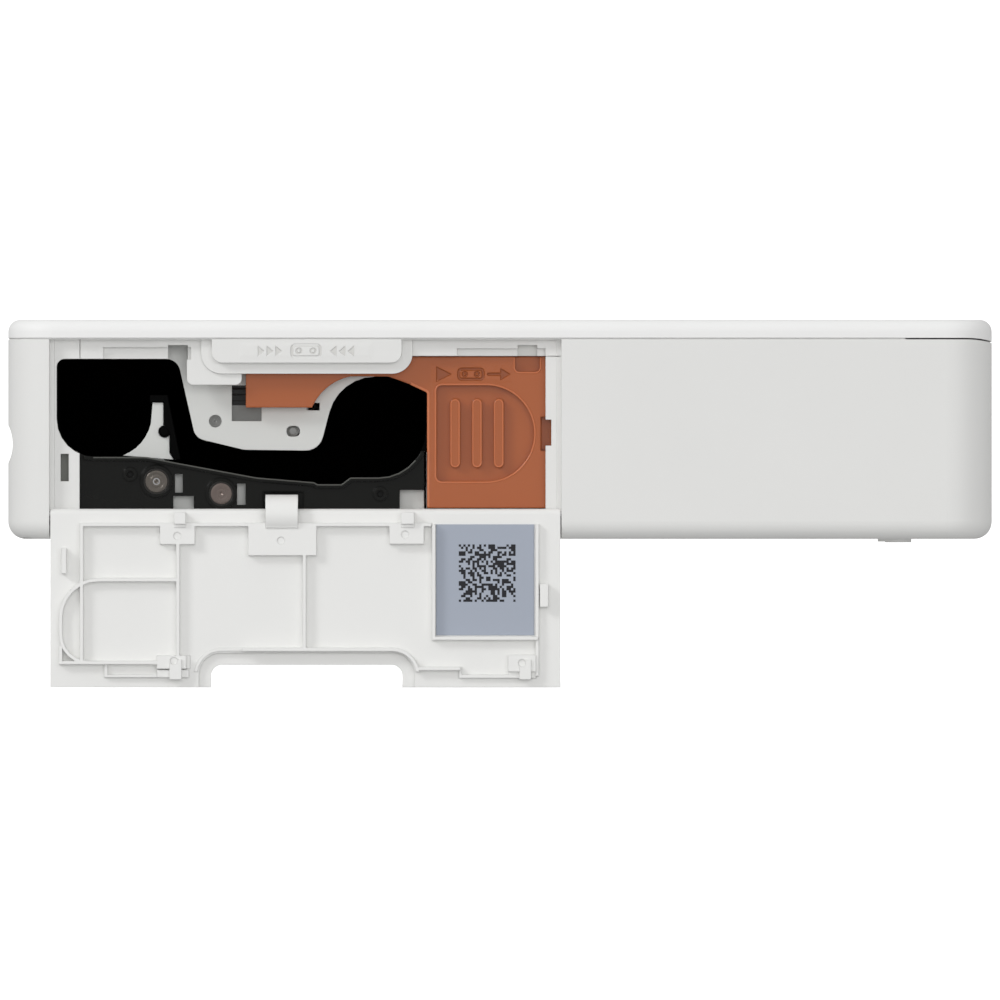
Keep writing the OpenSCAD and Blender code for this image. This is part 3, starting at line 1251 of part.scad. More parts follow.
bottom_case();
rubber_feet();
case_screws();
near_guide();
inner_frame();
cassette_bay();
ribbon_fin();
head_plate();
far_plate();
gear_plate();
plate_posts();
roller_bushings();
lever_rail();
paper_tray();
paper_chute();
battery_pack();
main_board();
board_parts();
usb_port();
light_pipes();
feed_motor();
pickup_motor();
lid_hinge_pins();
cassette_door();
door_pins();
door_label();
eject_lever();
eject_spring();
paper_lid();
presser_springs();
presser_plate();
presser_pads();
power_button();
release_slide();
feed_roller();
feed_gear();
platen_roller();
platen_shaft();
pinch_roller();
takeup_spindle();
takeup_gear();
supply_spindle();
pickup_roller();
pickup_shaft();
pickup_gear();
feed_pinion();
pickup_pinion();
head_sink();
head_strip();
lift_cams();
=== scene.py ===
# %% [markdown]
# # A compact photo printer, dressed for the studio
#
# The solids of this printer come ready-made, in metres, and every one already moves with its own
# body. This notebook gives them their finishes, adds the small moulded and printed details, and
# lights the whole for a catalogue picture. Each step says what the real piece is, how it could be
# made, and why this way was taken.

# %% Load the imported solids
import json
import math

import bpy
import numpy as np
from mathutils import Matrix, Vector


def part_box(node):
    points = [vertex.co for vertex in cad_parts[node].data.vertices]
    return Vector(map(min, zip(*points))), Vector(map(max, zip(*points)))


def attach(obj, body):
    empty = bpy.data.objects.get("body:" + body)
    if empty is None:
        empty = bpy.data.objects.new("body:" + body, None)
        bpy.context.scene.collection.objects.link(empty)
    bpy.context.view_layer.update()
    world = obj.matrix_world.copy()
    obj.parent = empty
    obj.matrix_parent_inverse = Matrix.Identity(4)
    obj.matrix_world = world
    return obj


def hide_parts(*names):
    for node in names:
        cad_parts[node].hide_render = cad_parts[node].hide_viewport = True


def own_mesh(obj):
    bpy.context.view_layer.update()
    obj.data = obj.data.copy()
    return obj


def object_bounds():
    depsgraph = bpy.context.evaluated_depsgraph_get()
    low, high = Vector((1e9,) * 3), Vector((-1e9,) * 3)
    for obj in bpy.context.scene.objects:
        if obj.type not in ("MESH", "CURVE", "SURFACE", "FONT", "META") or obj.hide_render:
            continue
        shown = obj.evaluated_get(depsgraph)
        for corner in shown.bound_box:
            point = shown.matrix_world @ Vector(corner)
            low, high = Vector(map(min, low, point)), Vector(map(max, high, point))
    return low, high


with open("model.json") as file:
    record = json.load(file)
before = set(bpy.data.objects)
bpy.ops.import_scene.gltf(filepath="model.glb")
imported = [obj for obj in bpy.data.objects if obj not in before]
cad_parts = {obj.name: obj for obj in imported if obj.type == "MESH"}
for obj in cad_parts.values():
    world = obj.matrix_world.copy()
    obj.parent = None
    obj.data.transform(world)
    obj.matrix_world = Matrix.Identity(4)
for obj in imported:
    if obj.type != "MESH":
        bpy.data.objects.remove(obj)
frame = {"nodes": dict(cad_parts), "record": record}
CAD_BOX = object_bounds()
# The scene is in metres; shapes below are worked out in millimetres and multiplied by this
MM = 0.001

# %% [markdown]
# ## The camera
#
# The printer is seen straight on from its long side, from far away, so that nothing converges. A
# long lens at a distance of 4 m does that. The width of the view at the printer's near face sets
# the focal length: sensor width times distance, divided by the width that has to fit.

# %% Camera
NEAR_Y = CAD_BOX[0][1]
VIEW_WIDTH = 147.9 * MM
VIEW_X = 0.0
VIEW_Z = 5.77 * MM
CAMERA_DISTANCE = 4.0
SENSOR = 36.0

lens_data = bpy.data.cameras.new("studio_camera")
lens_data.sensor_width = SENSOR
lens_data.lens = SENSOR * CAMERA_DISTANCE / VIEW_WIDTH
lens_data.clip_start = 0.05
lens_data.clip_end = 20
camera = bpy.data.objects.new("studio_camera", lens_data)
camera.location = (VIEW_X, NEAR_Y - CAMERA_DISTANCE, VIEW_Z)
camera.rotation_euler = (math.radians(90), 0, 0)
bpy.context.scene.collection.objects.link(camera)
bpy.context.scene.camera = camera
print("focal length in mm:", round(lens_data.lens, 1))

# %% [markdown]
# ## Meshes from arrays
#
# Every new piece is a surface given by a formula. Its points are computed as whole arrays, and a
# grid of them becomes quads by index arithmetic. `from_pydata` then puts both into the mesh in one
# go, which is far quicker than adding vertices one by one. A piece stays at the origin, with its
# place in its mesh, and rides on the body that carries it.


# %% Helpers for meshes
def mesh_piece(name, points, faces, body, material, slot):
    """A mesh object from an (n, 3) array and a list or array of faces, riding on a body."""
    mesh = bpy.data.meshes.new(name)
    mesh.from_pydata(np.asarray(points, float).tolist(), [], [tuple(map(int, f)) for f in faces])
    mesh.validate()
    mesh.update()
    piece = bpy.data.objects.new(name, mesh)
    bpy.context.scene.collection.objects.link(piece)
    mesh.materials.append(material)
    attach(piece, body)
    return piece


def grid_quads(rows, columns, wrap_rows=False, wrap_columns=False, flip=False):
    """Quads of a grid whose point (r, c) has the number r * columns + c; a wrapped side joins its start."""
    r, c = np.mgrid[0:rows - (not wrap_rows), 0:columns - (not wrap_columns)].reshape(2, -1)
    below, beside = (r + 1) % rows, (c + 1) % columns
    quads = np.stack([r * columns + c, r * columns + beside, below * columns + beside, below * columns + c], axis=1)
    return quads[:, [0, 3, 2, 1]] if flip else quads


# %% [markdown]
# ## Shader groups
#
# Moulded plastic, turned metal and sheet metal turn up on many pieces. Each effect is a node group
# with named inputs, so that a piece only has to say its own colour, grain and gloss.


# %% Helpers for shader nodes
def new_group(name, inputs, outputs):
    """A shader node group with float, colour or vector sockets, given as name: (kind, default)."""
    tree = bpy.data.node_groups.new(name, "ShaderNodeTree")
    kinds = {"float": "NodeSocketFloat", "colour": "NodeSocketColor", "vector": "NodeSocketVector"}
    for label, (kind, value) in inputs.items():
        socket = tree.interface.new_socket(name=label, in_out="INPUT", socket_type=kinds[kind])
        socket.default_value = value
    for label, kind in outputs.items():
        tree.interface.new_socket(name=label, in_out="OUTPUT", socket_type=kinds[kind])
    return tree, tree.nodes.new("NodeGroupInput"), tree.nodes.new("NodeGroupOutput")


def add(tree, kind, settings=None, **values):
    """A node with settings on itself, and inputs that are a value or another node's socket.

    An input goes by its name, or by its place as i0, i1 and so on."""
    made = tree.nodes.new("ShaderNode" + kind)
    for key, value in (settings or {}).items():
        setattr(made, key, value)
    for key, value in values.items():
        by_number = key[0] == "i" and key[1:].isdigit()
        socket = made.inputs[int(key[1:]) if by_number else key.replace("_", " ")]
        if isinstance(value, bpy.types.NodeSocket):
            tree.links.new(value, socket)
        else:
            socket.default_value = value
    return made


def srgb(red, green, blue):
    """A linear colour from display values of 0 to 255, by the usual sRGB curve."""
    shown = np.array([red, green, blue]) / 255
    linear = np.where(shown <= 0.04045, shown / 12.92, ((shown + 0.055) / 1.055) ** 2.4)
    return (*linear.tolist(), 1.0)


SURFACE = {"Colour": "colour", "Roughness": "float", "Normal": "vector"}


def surface(name, group, values, constant, level):
    """A material that takes colour, roughness and normal from a group, and one constant set on the shader."""
    material = bpy.data.materials.new(name)
    material.use_nodes = True
    tree = material.node_tree
    shader = tree.nodes["Principled BSDF"]
    node = tree.nodes.new("ShaderNodeGroup")
    node.node_tree = group
    for label, value in values.items():
        node.inputs[label].default_value = value
    for label, socket in (("Colour", "Base Color"), ("Roughness", "Roughness"), ("Normal", "Normal")):
        tree.links.new(node.outputs[label], shader.inputs[socket])
    shader.inputs[constant].default_value = level
    material.diffuse_color = values["Colour"]
    return material


# %% [markdown]
# ### Moulded plastic
#
# A steel mould leaves a fine even grain on plastic, and its edges are never quite sharp. The grain
# is a small noise that drives a bump. A picture of grain could be laid on instead, but it would have
# to be fitted to every piece, and noise that is read in the piece's own space needs no fitting. The
# Bevel node rounds the shading along edges, which costs no geometry. A slow noise shifts the tone
# and the gloss a little, as handling does.


# %% Group: moulded plastic
def moulded_group():
    """Colour, roughness and normal of grained plastic, from a grain size and depth in metres.

    The grain is a noise whose frequency is one over the grain size. A slow noise less a half, times the
    unevenness, is the shift: four times it is added to the roughness, and twice it to a brightness of one."""
    inputs = {
        "Colour": ("colour", (0.8, 0.8, 0.8, 1)),
        "Roughness": ("float", 0.5),
        "Grain size": ("float", 0.00012),
        "Grain depth": ("float", 0.00001),
        "Edge radius": ("float", 0.00015),
        "Unevenness": ("float", 0.02),
    }
    tree, given, made = new_group("moulded_plastic", inputs, SURFACE)
    place = add(tree, "TexCoord").outputs["Object"]
    frequency = add(tree, "Math", {"operation": "DIVIDE"}, i0=1.0, i1=given.outputs["Grain size"])
    grain = add(tree, "TexNoise", Vector=place, Scale=frequency.outputs[0], Detail=1.0, Roughness=0.6)
    slow = add(tree, "TexNoise", Vector=place, Scale=60.0, Detail=3.0, Roughness=0.55)
    shift = add(tree, "Math", {"operation": "SUBTRACT"}, i0=slow.outputs[0], i1=0.5)
    amount = add(tree, "Math", {"operation": "MULTIPLY"}, i0=shift.outputs[0], i1=given.outputs["Unevenness"])
    value = add(tree, "Math", {"operation": "MULTIPLY_ADD"}, i0=amount.outputs[0], i1=2.0, i2=1.0)
    colour = add(tree, "HueSaturation", Color=given.outputs["Colour"], Value=value.outputs[0])
    gloss = add(tree, "Math", {"operation": "MULTIPLY_ADD", "use_clamp": True},
                i0=amount.outputs[0], i1=4.0, i2=given.outputs["Roughness"])
    edge = add(tree, "Bevel", {"samples": 4}, Radius=given.outputs["Edge radius"])
    bump = add(tree, "Bump", Strength=1.0, Distance=given.outputs["Grain depth"], Height=grain.outputs[0],
               Normal=edge.outputs[0])
    tree.links.new(colour.outputs[0], made.inputs["Colour"])
    tree.links.new(gloss.outputs[0], made.inputs["Roughness"])
    tree.links.new(bump.outputs[0], made.inputs["Normal"])
    return tree


MOULDED = moulded_group()
print(MOULDED.name, "nodes:", len(MOULDED.nodes))


def moulded(name, colour, roughness=0.5, grain=0.00012, depth=0.000008, edge=0.00015, uneven=0.02, specular=0.5):
    """A material of moulded plastic; its specular level is a plain constant on the shader."""
    values = {
        "Colour": colour,
        "Roughness": roughness,
        "Grain size": grain,
        "Grain depth": depth,
        "Edge radius": edge,
        "Unevenness": uneven,
    }
    return surface(name, MOULDED, values, "Specular IOR Level", specular)


# %% [markdown]
# ### Worked metal
#
# Shafts are turned, so their marks run round the axis; sheet and extrusions are rolled or brushed,
# so theirs run along one direction. Both are one noise whose coordinates are multiplied by a
# different number on each axis. It drives the roughness and a very shallow bump. The shader's
# anisotropic gloss could draw such marks too, but it would need a direction on every piece.


# %% Group: worked metal
def metal_group():
    """Colour, roughness and normal of metal with fine parallel marks; Stretch scales the noise per axis."""
    inputs = {
        "Colour": ("colour", (0.6, 0.6, 0.6, 1)),
        "Roughness": ("float", 0.3),
        "Stretch": ("vector", (300, 12000, 300)),
        "Mark depth": ("float", 0.000004),
        "Edge radius": ("float", 0.0001),
    }
    tree, given, made = new_group("worked_metal", inputs, SURFACE)
    place = add(tree, "TexCoord").outputs["Object"]
    stretched = add(tree, "VectorMath", {"operation": "MULTIPLY"}, i0=place, i1=given.outputs["Stretch"])
    marks = add(tree, "TexNoise", Vector=stretched.outputs[0], Scale=1.0, Detail=2.0, Roughness=0.6)
    blotches = add(tree, "TexNoise", Vector=place, Scale=180.0, Detail=3.0, Roughness=0.6)
    centred = add(tree, "Math", {"operation": "SUBTRACT"}, i0=marks.outputs[0], i1=0.5)
    gloss = add(tree, "Math", {"operation": "MULTIPLY_ADD", "use_clamp": True},
                i0=centred.outputs[0], i1=0.35, i2=given.outputs["Roughness"])
    value = add(tree, "MapRange", Value=blotches.outputs[0], i1=0.3, i2=0.7, i3=0.9, i4=1.05)
    colour = add(tree, "HueSaturation", Color=given.outputs["Colour"], Value=value.outputs[0])
    edge = add(tree, "Bevel", {"samples": 4}, Radius=given.outputs["Edge radius"])
    bump = add(tree, "Bump", Strength=1.0, Distance=given.outputs["Mark depth"], Height=marks.outputs[0],
               Normal=edge.outputs[0])
    tree.links.new(colour.outputs[0], made.inputs["Colour"])
    tree.links.new(gloss.outputs[0], made.inputs["Roughness"])
    tree.links.new(bump.outputs[0], made.inputs["Normal"])
    return tree


METAL = metal_group()
print(METAL.name, "nodes:", len(METAL.nodes))


def metal(name, colour, roughness=0.3, stretch=(300, 12000, 300), depth=0.000003, edge=0.0001):
    """A metal material: fully metallic, with its marks' direction given by the stretch."""
    values = {"Colour": colour, "Roughness": roughness, "Stretch": stretch, "Mark depth": depth, "Edge radius": edge}
    return surface(name, METAL, values, "Metallic", 1.0)


# %% [markdown]
# ## The finishes
#
# The casing is white plastic with a fine matt grain outside, smoother and a little brighter inside
# the door recess. The bay and its guide are black, so that little stray light reaches the ribbon,
# and the eject lever is terracotta so that the hand finds it. Inside, the gears are off-white
# plastic, the rollers are dull rubber, and shafts, plates and posts are steel and brass. Each finish
# could be built on its own, but a colour and a few numbers given to the two groups are enough, and
# they are easy to compare in one list.

# %% Finishes
LEVER_COLOUR = srgb(170, 89, 42)
finish = {
    "case_white": moulded("case_moulding", srgb(232, 232, 230), 0.55),
    "lid_white": moulded("lid_moulding", srgb(243, 243, 242), 0.55),
    "door_white": moulded("door_moulding", srgb(238, 238, 236), 0.42, depth=0.000003, edge=0.0002),
    "rail_grey": moulded("frame_moulding", srgb(217, 218, 215), 0.45, depth=0.000003),
    "bay_black": moulded("bay_moulding", srgb(7, 8, 5), 0.28, depth=0.000001, edge=0.0003, specular=0.32),
    "tray_grey": moulded("tray_moulding", srgb(52, 52, 53), 0.5),
    "lever_orange": moulded("lever_moulding", LEVER_COLOUR, 0.25, depth=0.000001, edge=0.00035, specular=0.65),
    "gear_white": moulded("gear_moulding", srgb(228, 226, 216), 0.4, depth=0.000002),
    "bushing": moulded("bushing_moulding", srgb(30, 28, 25), 0.3, depth=0.000001),
    "rubber": moulded("roller_rubber", srgb(38, 38, 39), 0.75, depth=0.000012, uneven=0.05),
    "foot_rubber": moulded("foot_rubber", srgb(238, 238, 236), 0.8),
    "pad_felt": moulded("pad_felt", srgb(110, 104, 98), 0.95, grain=0.00025, depth=0.00005, uneven=0.1),
    "ceramic": moulded("head_glaze", srgb(206, 200, 186), 0.15, depth=0.0),
    "pcb_green": moulded("board_mask", srgb(20, 82, 44), 0.3, grain=0.0004, depth=0.000002),
    "chip_black": moulded("chip_case", srgb(34, 34, 36), 0.5),
    "cell_wrap": moulded("cell_wrap", srgb(52, 62, 84), 0.25, grain=0.0012, depth=0.00001),
    "label_blue": moulded("label_film", srgb(167, 174, 187), 0.4, depth=0.000001, specular=0.3),
    "steel": metal("turned_steel", (0.62, 0.62, 0.63, 1), 0.28),
    "plate_steel": metal("plated_sheet", (0.6, 0.61, 0.63, 1), 0.36, (2500, 300, 300)),
    "copper_steel": metal("coated_shaft", (0.66, 0.5, 0.45, 1), 0.3),
    "brass": metal("brass", (0.78, 0.6, 0.3, 1), 0.3),
    "motor_can": metal("motor_can", (0.55, 0.56, 0.58, 1), 0.3),
    "heatsink": metal("heatsink", (0.72, 0.73, 0.74, 1), 0.34, (2500, 150, 2500)),
    "clear_pipe": moulded("light_pipe", srgb(225, 235, 240), 0.15, depth=0.0),
}
# What lies deep in the bay gets a dull copy of the black finish with almost no gloss, duller than the black guide
# before it: painted shade for the dark inside of the bay
deep_bay_painted_shade = moulded("bay_depth_painted_shade", srgb(7, 7, 7), 0.7, depth=0.000002, specular=0.05)
DEEP_IN_PAINTED_SHADE = ("cassette_bay", "takeup_spindle", "supply_spindle")
slot_of = {row["node"]: row["material_slot"] for row in frame["record"]["subparts"]}
for node_name, solid in frame["nodes"].items():
    solid.data.materials.clear()
    solid.data.materials.append(deep_bay_painted_shade if node_name in DEEP_IN_PAINTED_SHADE else finish[slot_of[node_name]])
print("finishes:", len(finish))

# %% [markdown]
# ## Signs in the mouldings
#
# The lever and the tab above the bay carry signs that are sunk into the plastic by the mould. A
# sign is a height field: a fine grid of points on the face, pushed in where a distance function
# says that the point lies inside a stroke. Real depth catches the light along one side of a stroke
# and shades the other, which a printed or bumped sign does not do. The sheet swells out of the
# face by six hundredths of a millimetre, so that its grooves have room.
# The strokes are also darker in colour than the face around them, which is painted shade.


# %% Distance functions
# Width of a stroke, and the width over which its edge eases down, in millimetres
STROKE = 0.36
SOFT = 0.14


def near_segment(x, z, a, b):
    """Distance from points to the segment ab: |p - a - t (b - a)| with t the clamped projection."""
    across, up = b[0] - a[0], b[1] - a[1]
    t = np.clip(((x - a[0]) * across + (z - a[1]) * up) / (across**2 + up**2), 0, 1)
    return np.hypot(x - a[0] - t * across, z - a[1] - t * up)


def near_box(x, z, middle, size, round_r):
    """Signed distance to a box with round corners: outside length plus inside depth, less the radius."""
    qx = np.abs(x - middle[0]) - size[0] / 2 + round_r
    qz = np.abs(z - middle[1]) - size[1] / 2 + round_r
    return np.hypot(np.maximum(qx, 0), np.maximum(qz, 0)) + np.minimum(np.maximum(qx, qz), 0) - round_r


def near_triangle(x, z, tip, length, half):
    """Signed distance to a triangle that points along +X or -X, as the largest of three half planes."""
    side = math.copysign(1, length)
    run = side * (tip[0] - x)
    slope = math.hypot(half, abs(length))
    return np.maximum((np.abs(z - tip[1]) * abs(length) - run * half) / slope, run - abs(length))


def cassette_sign(x, z, middle, width):
    """A ribbon cassette in outline: a long box with a round hub at each end.

    Its strokes are the bands where the distance to the box's edge or to a hub's circle is small."""
    height = width * 0.42
    outline = np.abs(near_box(x, z, middle, (width, height), height * 0.3)) - STROKE / 2
    for side in (-1, 1):
        from_hub = np.hypot(x - middle[0] - side * width * 0.25, z - middle[1])
        outline = np.minimum(outline, np.abs(from_hub - height * 0.2) - STROKE * 0.35)
    return outline


# %% Sunk signs
def engraved(name, plain, dark, shade, sink):
    """A copy of a plain finish that bumps where the mesh attribute 'sunk' nears one, and darkens there as painted shade
    in the grooves.
    """
    material = plain.copy()
    material.name = name
    tree = material.node_tree
    shader = tree.nodes["Principled BSDF"]
    depth = add(tree, "Attribute", {"attribute_name": "sunk"}).outputs["Fac"]
    normal = shader.inputs["Normal"].links[0].from_socket
    colour = shader.inputs["Base Color"].links[0].from_socket
    share = add(tree, "Math", {"operation": "MULTIPLY"}, i0=depth, i1=shade)
    # The darker colour in the strokes is painted shade, mixed in by the depth of the groove.
    painted_groove_shade = add(tree, "Mix", {"data_type": "RGBA"}, i0=share.outputs[0], i6=colour, i7=dark)
    carved = add(tree, "Bump", {"invert": True}, Strength=1.0, Distance=sink, Height=depth, Normal=normal)
    tree.links.new(painted_groove_shade.outputs[2], shader.inputs["Base Color"])
    tree.links.new(carved.outputs[0], shader.inputs["Normal"])
    return material


def ease(value):
    """The smooth step: t squared times (3 - 2 t), with t held between 0 and 1."""
    t = np.clip(value, 0, 1)
    return t * t * (3 - 2 * t)


def face_grid(x_range, z_range, cell):
    """X and Z of a grid of points over a rectangle, one row for each height."""
    xs = np.arange(x_range[0], x_range[1] + cell / 2, cell)
    zs = np.arange(z_range[0], z_range[1] + cell / 2, cell)
    return np.meshgrid(xs, zs)


def sheet_piece(name, x, z, y, body, material, slot):
    """A smooth sheet from the X, Z and Y of its grid in millimetres, facing the front."""
    points = np.stack([x, y, z], axis=-1).reshape(-1, 3) * MM
    piece = mesh_piece(name, points, grid_quads(*x.shape), body, material, slot)
    piece.data.shade_smooth()
    print(name, len(points), "points")
    return piece


# Cell of a sign's grid, lift of its border off the face, and width over which it swells, in millimetres
SIGN_CELL, SIGN_LIFT, SIGN_SWELL = 0.05, 0.004, 0.9


def sunk_sign(name, corners, face_y, distance, body, material, slot, proud=0.06, depth=0.055):
    """A sheet on a face: y = face - lift - proud s(edge) + depth s(stroke), where s eases from 0 to 1."""
    (x0, z0), (x1, z1) = corners
    x, z = face_grid((x0, x1), (z0, z1), SIGN_CELL)
    border = np.minimum(np.minimum(x - x0, x1 - x), np.minimum(z - z0, z1 - z))
    sunk = ease(0.5 - distance(x, z) / SOFT)
    height = SIGN_LIFT + proud * ease(border / SIGN_SWELL) - depth * sunk
    piece = sheet_piece(name, x, z, face_y / MM - height, body, material, slot)
    piece.data.attributes.new("sunk", "FLOAT", "POINT").data.foreach_set("value", sunk.ravel())


# %% Signs on the eject lever
LEVER_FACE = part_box("eject_lever")[0][1]
SIGN_Z = 24.4


def lever_sign(x, z):
    """An arrow head, then a cassette with an arrow that leads out of it: the least of their distances."""
    shapes = [
        near_triangle(x, z, (-7.2, SIGN_Z), 2.2, 1.1),
        cassette_sign(x, z, (-4.3, SIGN_Z), 3.6),
        near_segment(x, z, (-1.7, SIGN_Z), (0.3, SIGN_Z)) - STROKE / 2,
        near_triangle(x, z, (1.5, SIGN_Z), 1.4, 0.85),
    ]
    return np.minimum.reduce(shapes)


# The darker orange in the lever's strokes is painted shade.
lever_cut_painted_shade = engraved("lever_cut_painted_shade", finish["lever_orange"], srgb(120, 58, 30), 0.55, 0.00016)
sunk_sign("lever_sign", ((-10.4, 22.9), (2.1, 26.1)), LEVER_FACE, lever_sign,
          "eject", lever_cut_painted_shade, "lever_orange")

# %% Sign on the tab
TAB_FACE = -51.1 * MM
TAB_X, TAB_Z = -28.7, 27.8


def tab_sign(x, z):
    """A cassette between two rows of three arrow heads that point at it: the least of their distances."""
    shapes = [cassette_sign(x, z, (TAB_X, TAB_Z), 4.2)]
    for side in (-1, 1):
        for step in (3.6, 4.9, 6.2):
            shapes.append(near_triangle(x, z, (TAB_X + side * step, TAB_Z), -side * 0.9, 0.75))
    return np.minimum.reduce(shapes)


# The darker white in the tab's strokes is painted shade.
tab_cut_painted_shade = engraved("tab_cut_painted_shade", finish["case_white"], srgb(206, 205, 200), 0.6, 0.00008)
sunk_sign("tab_sign", ((-38.8, 26.4), (-18.6, 29.3)), TAB_FACE, tab_sign, "chassis", tab_cut_painted_shade, "case_white")

# %% [markdown]
# ## Print on the label
#
# The film inside the door carries a block of small printed cells. Here it is a field of cells with
# no meaning, dark or bare by chance from a fixed seed. Each dark cell is a flat square a hundredth
# of a millimetre above the film, because ink has next to no thickness, and a texture would blur.

# %% Printed cells
LABEL_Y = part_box("door_label")[0][1]
INK_THICK = 0.01 * MM
CELLS = 25
PRINT_X, PRINT_Z = (-6.1, 2.3), (-9.3, -0.8)
ink = moulded("label_ink", srgb(38, 38, 42), 0.5, depth=0.0, specular=0.3)


def printed_cells():
    """The squares of a grid that a seeded generator marks, each with a chance of one in two."""
    marks = np.random.default_rng(12).random((CELLS, CELLS)) < 0.5
    across = np.linspace(*PRINT_X, CELLS + 1) * MM
    up = np.linspace(*PRINT_Z, CELLS + 1) * MM
    row, column = np.nonzero(marks)
    x = across[column[:, None] + (0, 1, 1, 0)]
    z = up[row[:, None] + (0, 0, 1, 1)]
    points = np.stack([x, np.full(x.shape, LABEL_Y - INK_THICK), z], axis=-1).reshape(-1, 3)
    print("printed cells:", len(row), "of", CELLS * CELLS)
    return points, np.arange(len(points)).reshape(-1, 4)


mesh_piece("label_print", *printed_cells(), "door", ink, "chip_black")

# %% [markdown]
# ## Rolled edges
#
# The mould leaves a low rounded bead along the rims that a finger meets: round the thumb recess,
# its three ribs and the hook pocket of the lever, and along the mouth of the bay. Such a bead is
# where the light draws its bright lines. It is half an ellipse carried along a path in X and Z. A
# bevel on the solid could do the same, but the solids stay as they are, so it is a piece of its own.
# The beads are coloured lighter than the plastic they stand on: a painted highlight, added to the light they catch.


# %% Paths and beads
def rounded_corners(corners, closed=True, steps=8):
    """A path from corners (x, z, radius): each corner becomes an arc that touches both its sides.

    With h as half the corner's angle, the arc's centre lies radius / sin h from the corner along the
    bisector, and the arc touches each side radius / tan h from the corner."""
    spots = np.array([c[:2] for c in corners], float)
    path = []
    for k, (x, z, radius) in enumerate(corners):
        if not closed and k in (0, len(corners) - 1):
            path.append([[x, z]])
            continue
        to_last = spots[k - 1] - spots[k]
        to_next = spots[(k + 1) % len(corners)] - spots[k]
        to_last, to_next = to_last / np.hypot(*to_last), to_next / np.hypot(*to_next)
        half = math.acos(np.clip(to_last @ to_next, -1, 1)) / 2
        middle_way = (to_last + to_next) / np.hypot(*(to_last + to_next))
        centre = spots[k] + middle_way * radius / math.sin(half)
        reach = radius / math.tan(half)
        first, last = spots[k] + to_last * reach - centre, spots[k] + to_next * reach - centre
        start = math.atan2(first[1], first[0])
        sweep = (math.atan2(last[1], last[0]) - start + math.pi) % (2 * math.pi) - math.pi
        angle = start + sweep * np.linspace(0, 1, steps)
        path.append(centre + radius * np.stack([np.cos(angle), np.sin(angle)], axis=1))
    return np.vstack(path)


# A bead's foot is sunk into the face by this much, in millimetres, so that no gap shows under it
BEAD_SINK = 0.01


def bead(name, path, face_y, body, material, slot, width=0.3, height=0.09, closed=True, rings=7):
    """Half an ellipse along a path: point = p + n (w / 2) cos t, y = face + s - (h + s) sin t.

    n is the direction across the path, worked out from the points before and after p, and s the sink."""
    path = np.asarray(path, float)
    if closed:
        ahead, behind = np.roll(path, -1, axis=0), np.roll(path, 1, axis=0)
    else:
        ahead, behind = np.vstack([path[1:], path[-1:]]), np.vstack([path[:1], path[:-1]])
    along = ahead - behind
    along /= np.hypot(along[:, 0], along[:, 1])[:, None]
    across = np.stack([-along[:, 1], along[:, 0]], axis=1)
    t = np.linspace(0, math.pi, rings)
    flat = path[:, None, :] + across[:, None, :] * (width / 2 * np.cos(t))[None, :, None]
    y = np.broadcast_to((face_y + BEAD_SINK - (height + BEAD_SINK) * np.sin(t))[None, :], flat.shape[:2])
    points = np.stack([flat[..., 0], y, flat[..., 1]], axis=-1).reshape(-1, 3) * MM
    piece = mesh_piece(name, points, grid_quads(len(path), rings, wrap_rows=closed), body, material, slot)
    piece.data.shade_smooth()
    print(name, len(path), "points along")


# %% Beads of the eject lever
LEVER_Y = LEVER_FACE / MM
THUMB_LEFT, THUMB_MIDDLE, THUMB_R = -9.55, (-2.05, 15.63), 7.25
THUMB_LOW, THUMB_HIGH = THUMB_MIDDLE[1] - THUMB_R, THUMB_MIDDLE[1] + THUMB_R
RIBS_X, RIB_HALF, RIB_LOW, RIB_HIGH = (-6.64, -3.4, -0.17), 0.6, 10.7, 20.6
# The bead's orange is lighter than the lever's own orange: painted highlight.
bead_orange_painted_highlight = moulded("lever_rim_painted_highlight", srgb(200, 112, 66), 0.25, depth=0.0, edge=0.0001, specular=0.8)
HIGHLIT_ORANGE_BEAD = ("eject", bead_orange_painted_highlight, "lever_orange")

angle = np.linspace(-math.pi / 2, math.pi / 2, 40)
left_side = [(-3.0, THUMB_HIGH, 0), (THUMB_LEFT, THUMB_HIGH, 0.95), (THUMB_LEFT, THUMB_LOW, 0.95), (-3.0, THUMB_LOW, 0)]
right_arc = np.array(THUMB_MIDDLE) + THUMB_R * np.stack([np.cos(angle), np.sin(angle)], axis=1)
bead("thumb_rim", np.vstack([rounded_corners(left_side, closed=False), right_arc]), LEVER_Y, *HIGHLIT_ORANGE_BEAD, width=0.26)
for number, rib_x in enumerate(RIBS_X):
    left, right, rib_r = rib_x - RIB_HALF, rib_x + RIB_HALF, 0.59
    ring = [(left, RIB_LOW, rib_r), (right, RIB_LOW, rib_r), (right, RIB_HIGH, rib_r), (left, RIB_HIGH, rib_r)]
    bead(f"rib_rim_{number}", rounded_corners(ring), LEVER_Y + 0.1, *HIGHLIT_ORANGE_BEAD, width=0.22, height=0.07)
pocket = [(2.12, 26.9, 0), (2.12, 24.62, 0.8), (6.0, 24.62, 0.8), (6.0, 26.9, 0)]
bead("pocket_rim", rounded_corners(pocket, closed=False), LEVER_Y, *HIGHLIT_ORANGE_BEAD, width=0.22, height=0.07, closed=False)
side = [(-10.6, 4.75, 0), (-10.6, 21.82, 0.6), (-13.2, 23.02, 0)]
bead("lever_side_rim", rounded_corners(side, closed=False), LEVER_Y, *HIGHLIT_ORANGE_BEAD, width=0.4, height=0.08, closed=False)

# %% Bead along the mouth of the bay
GUIDE_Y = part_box("near_guide")[0][1] / MM
BAY_X0, BAY_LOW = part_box("cassette_door")[0][0] / MM + 0.91, 12.16
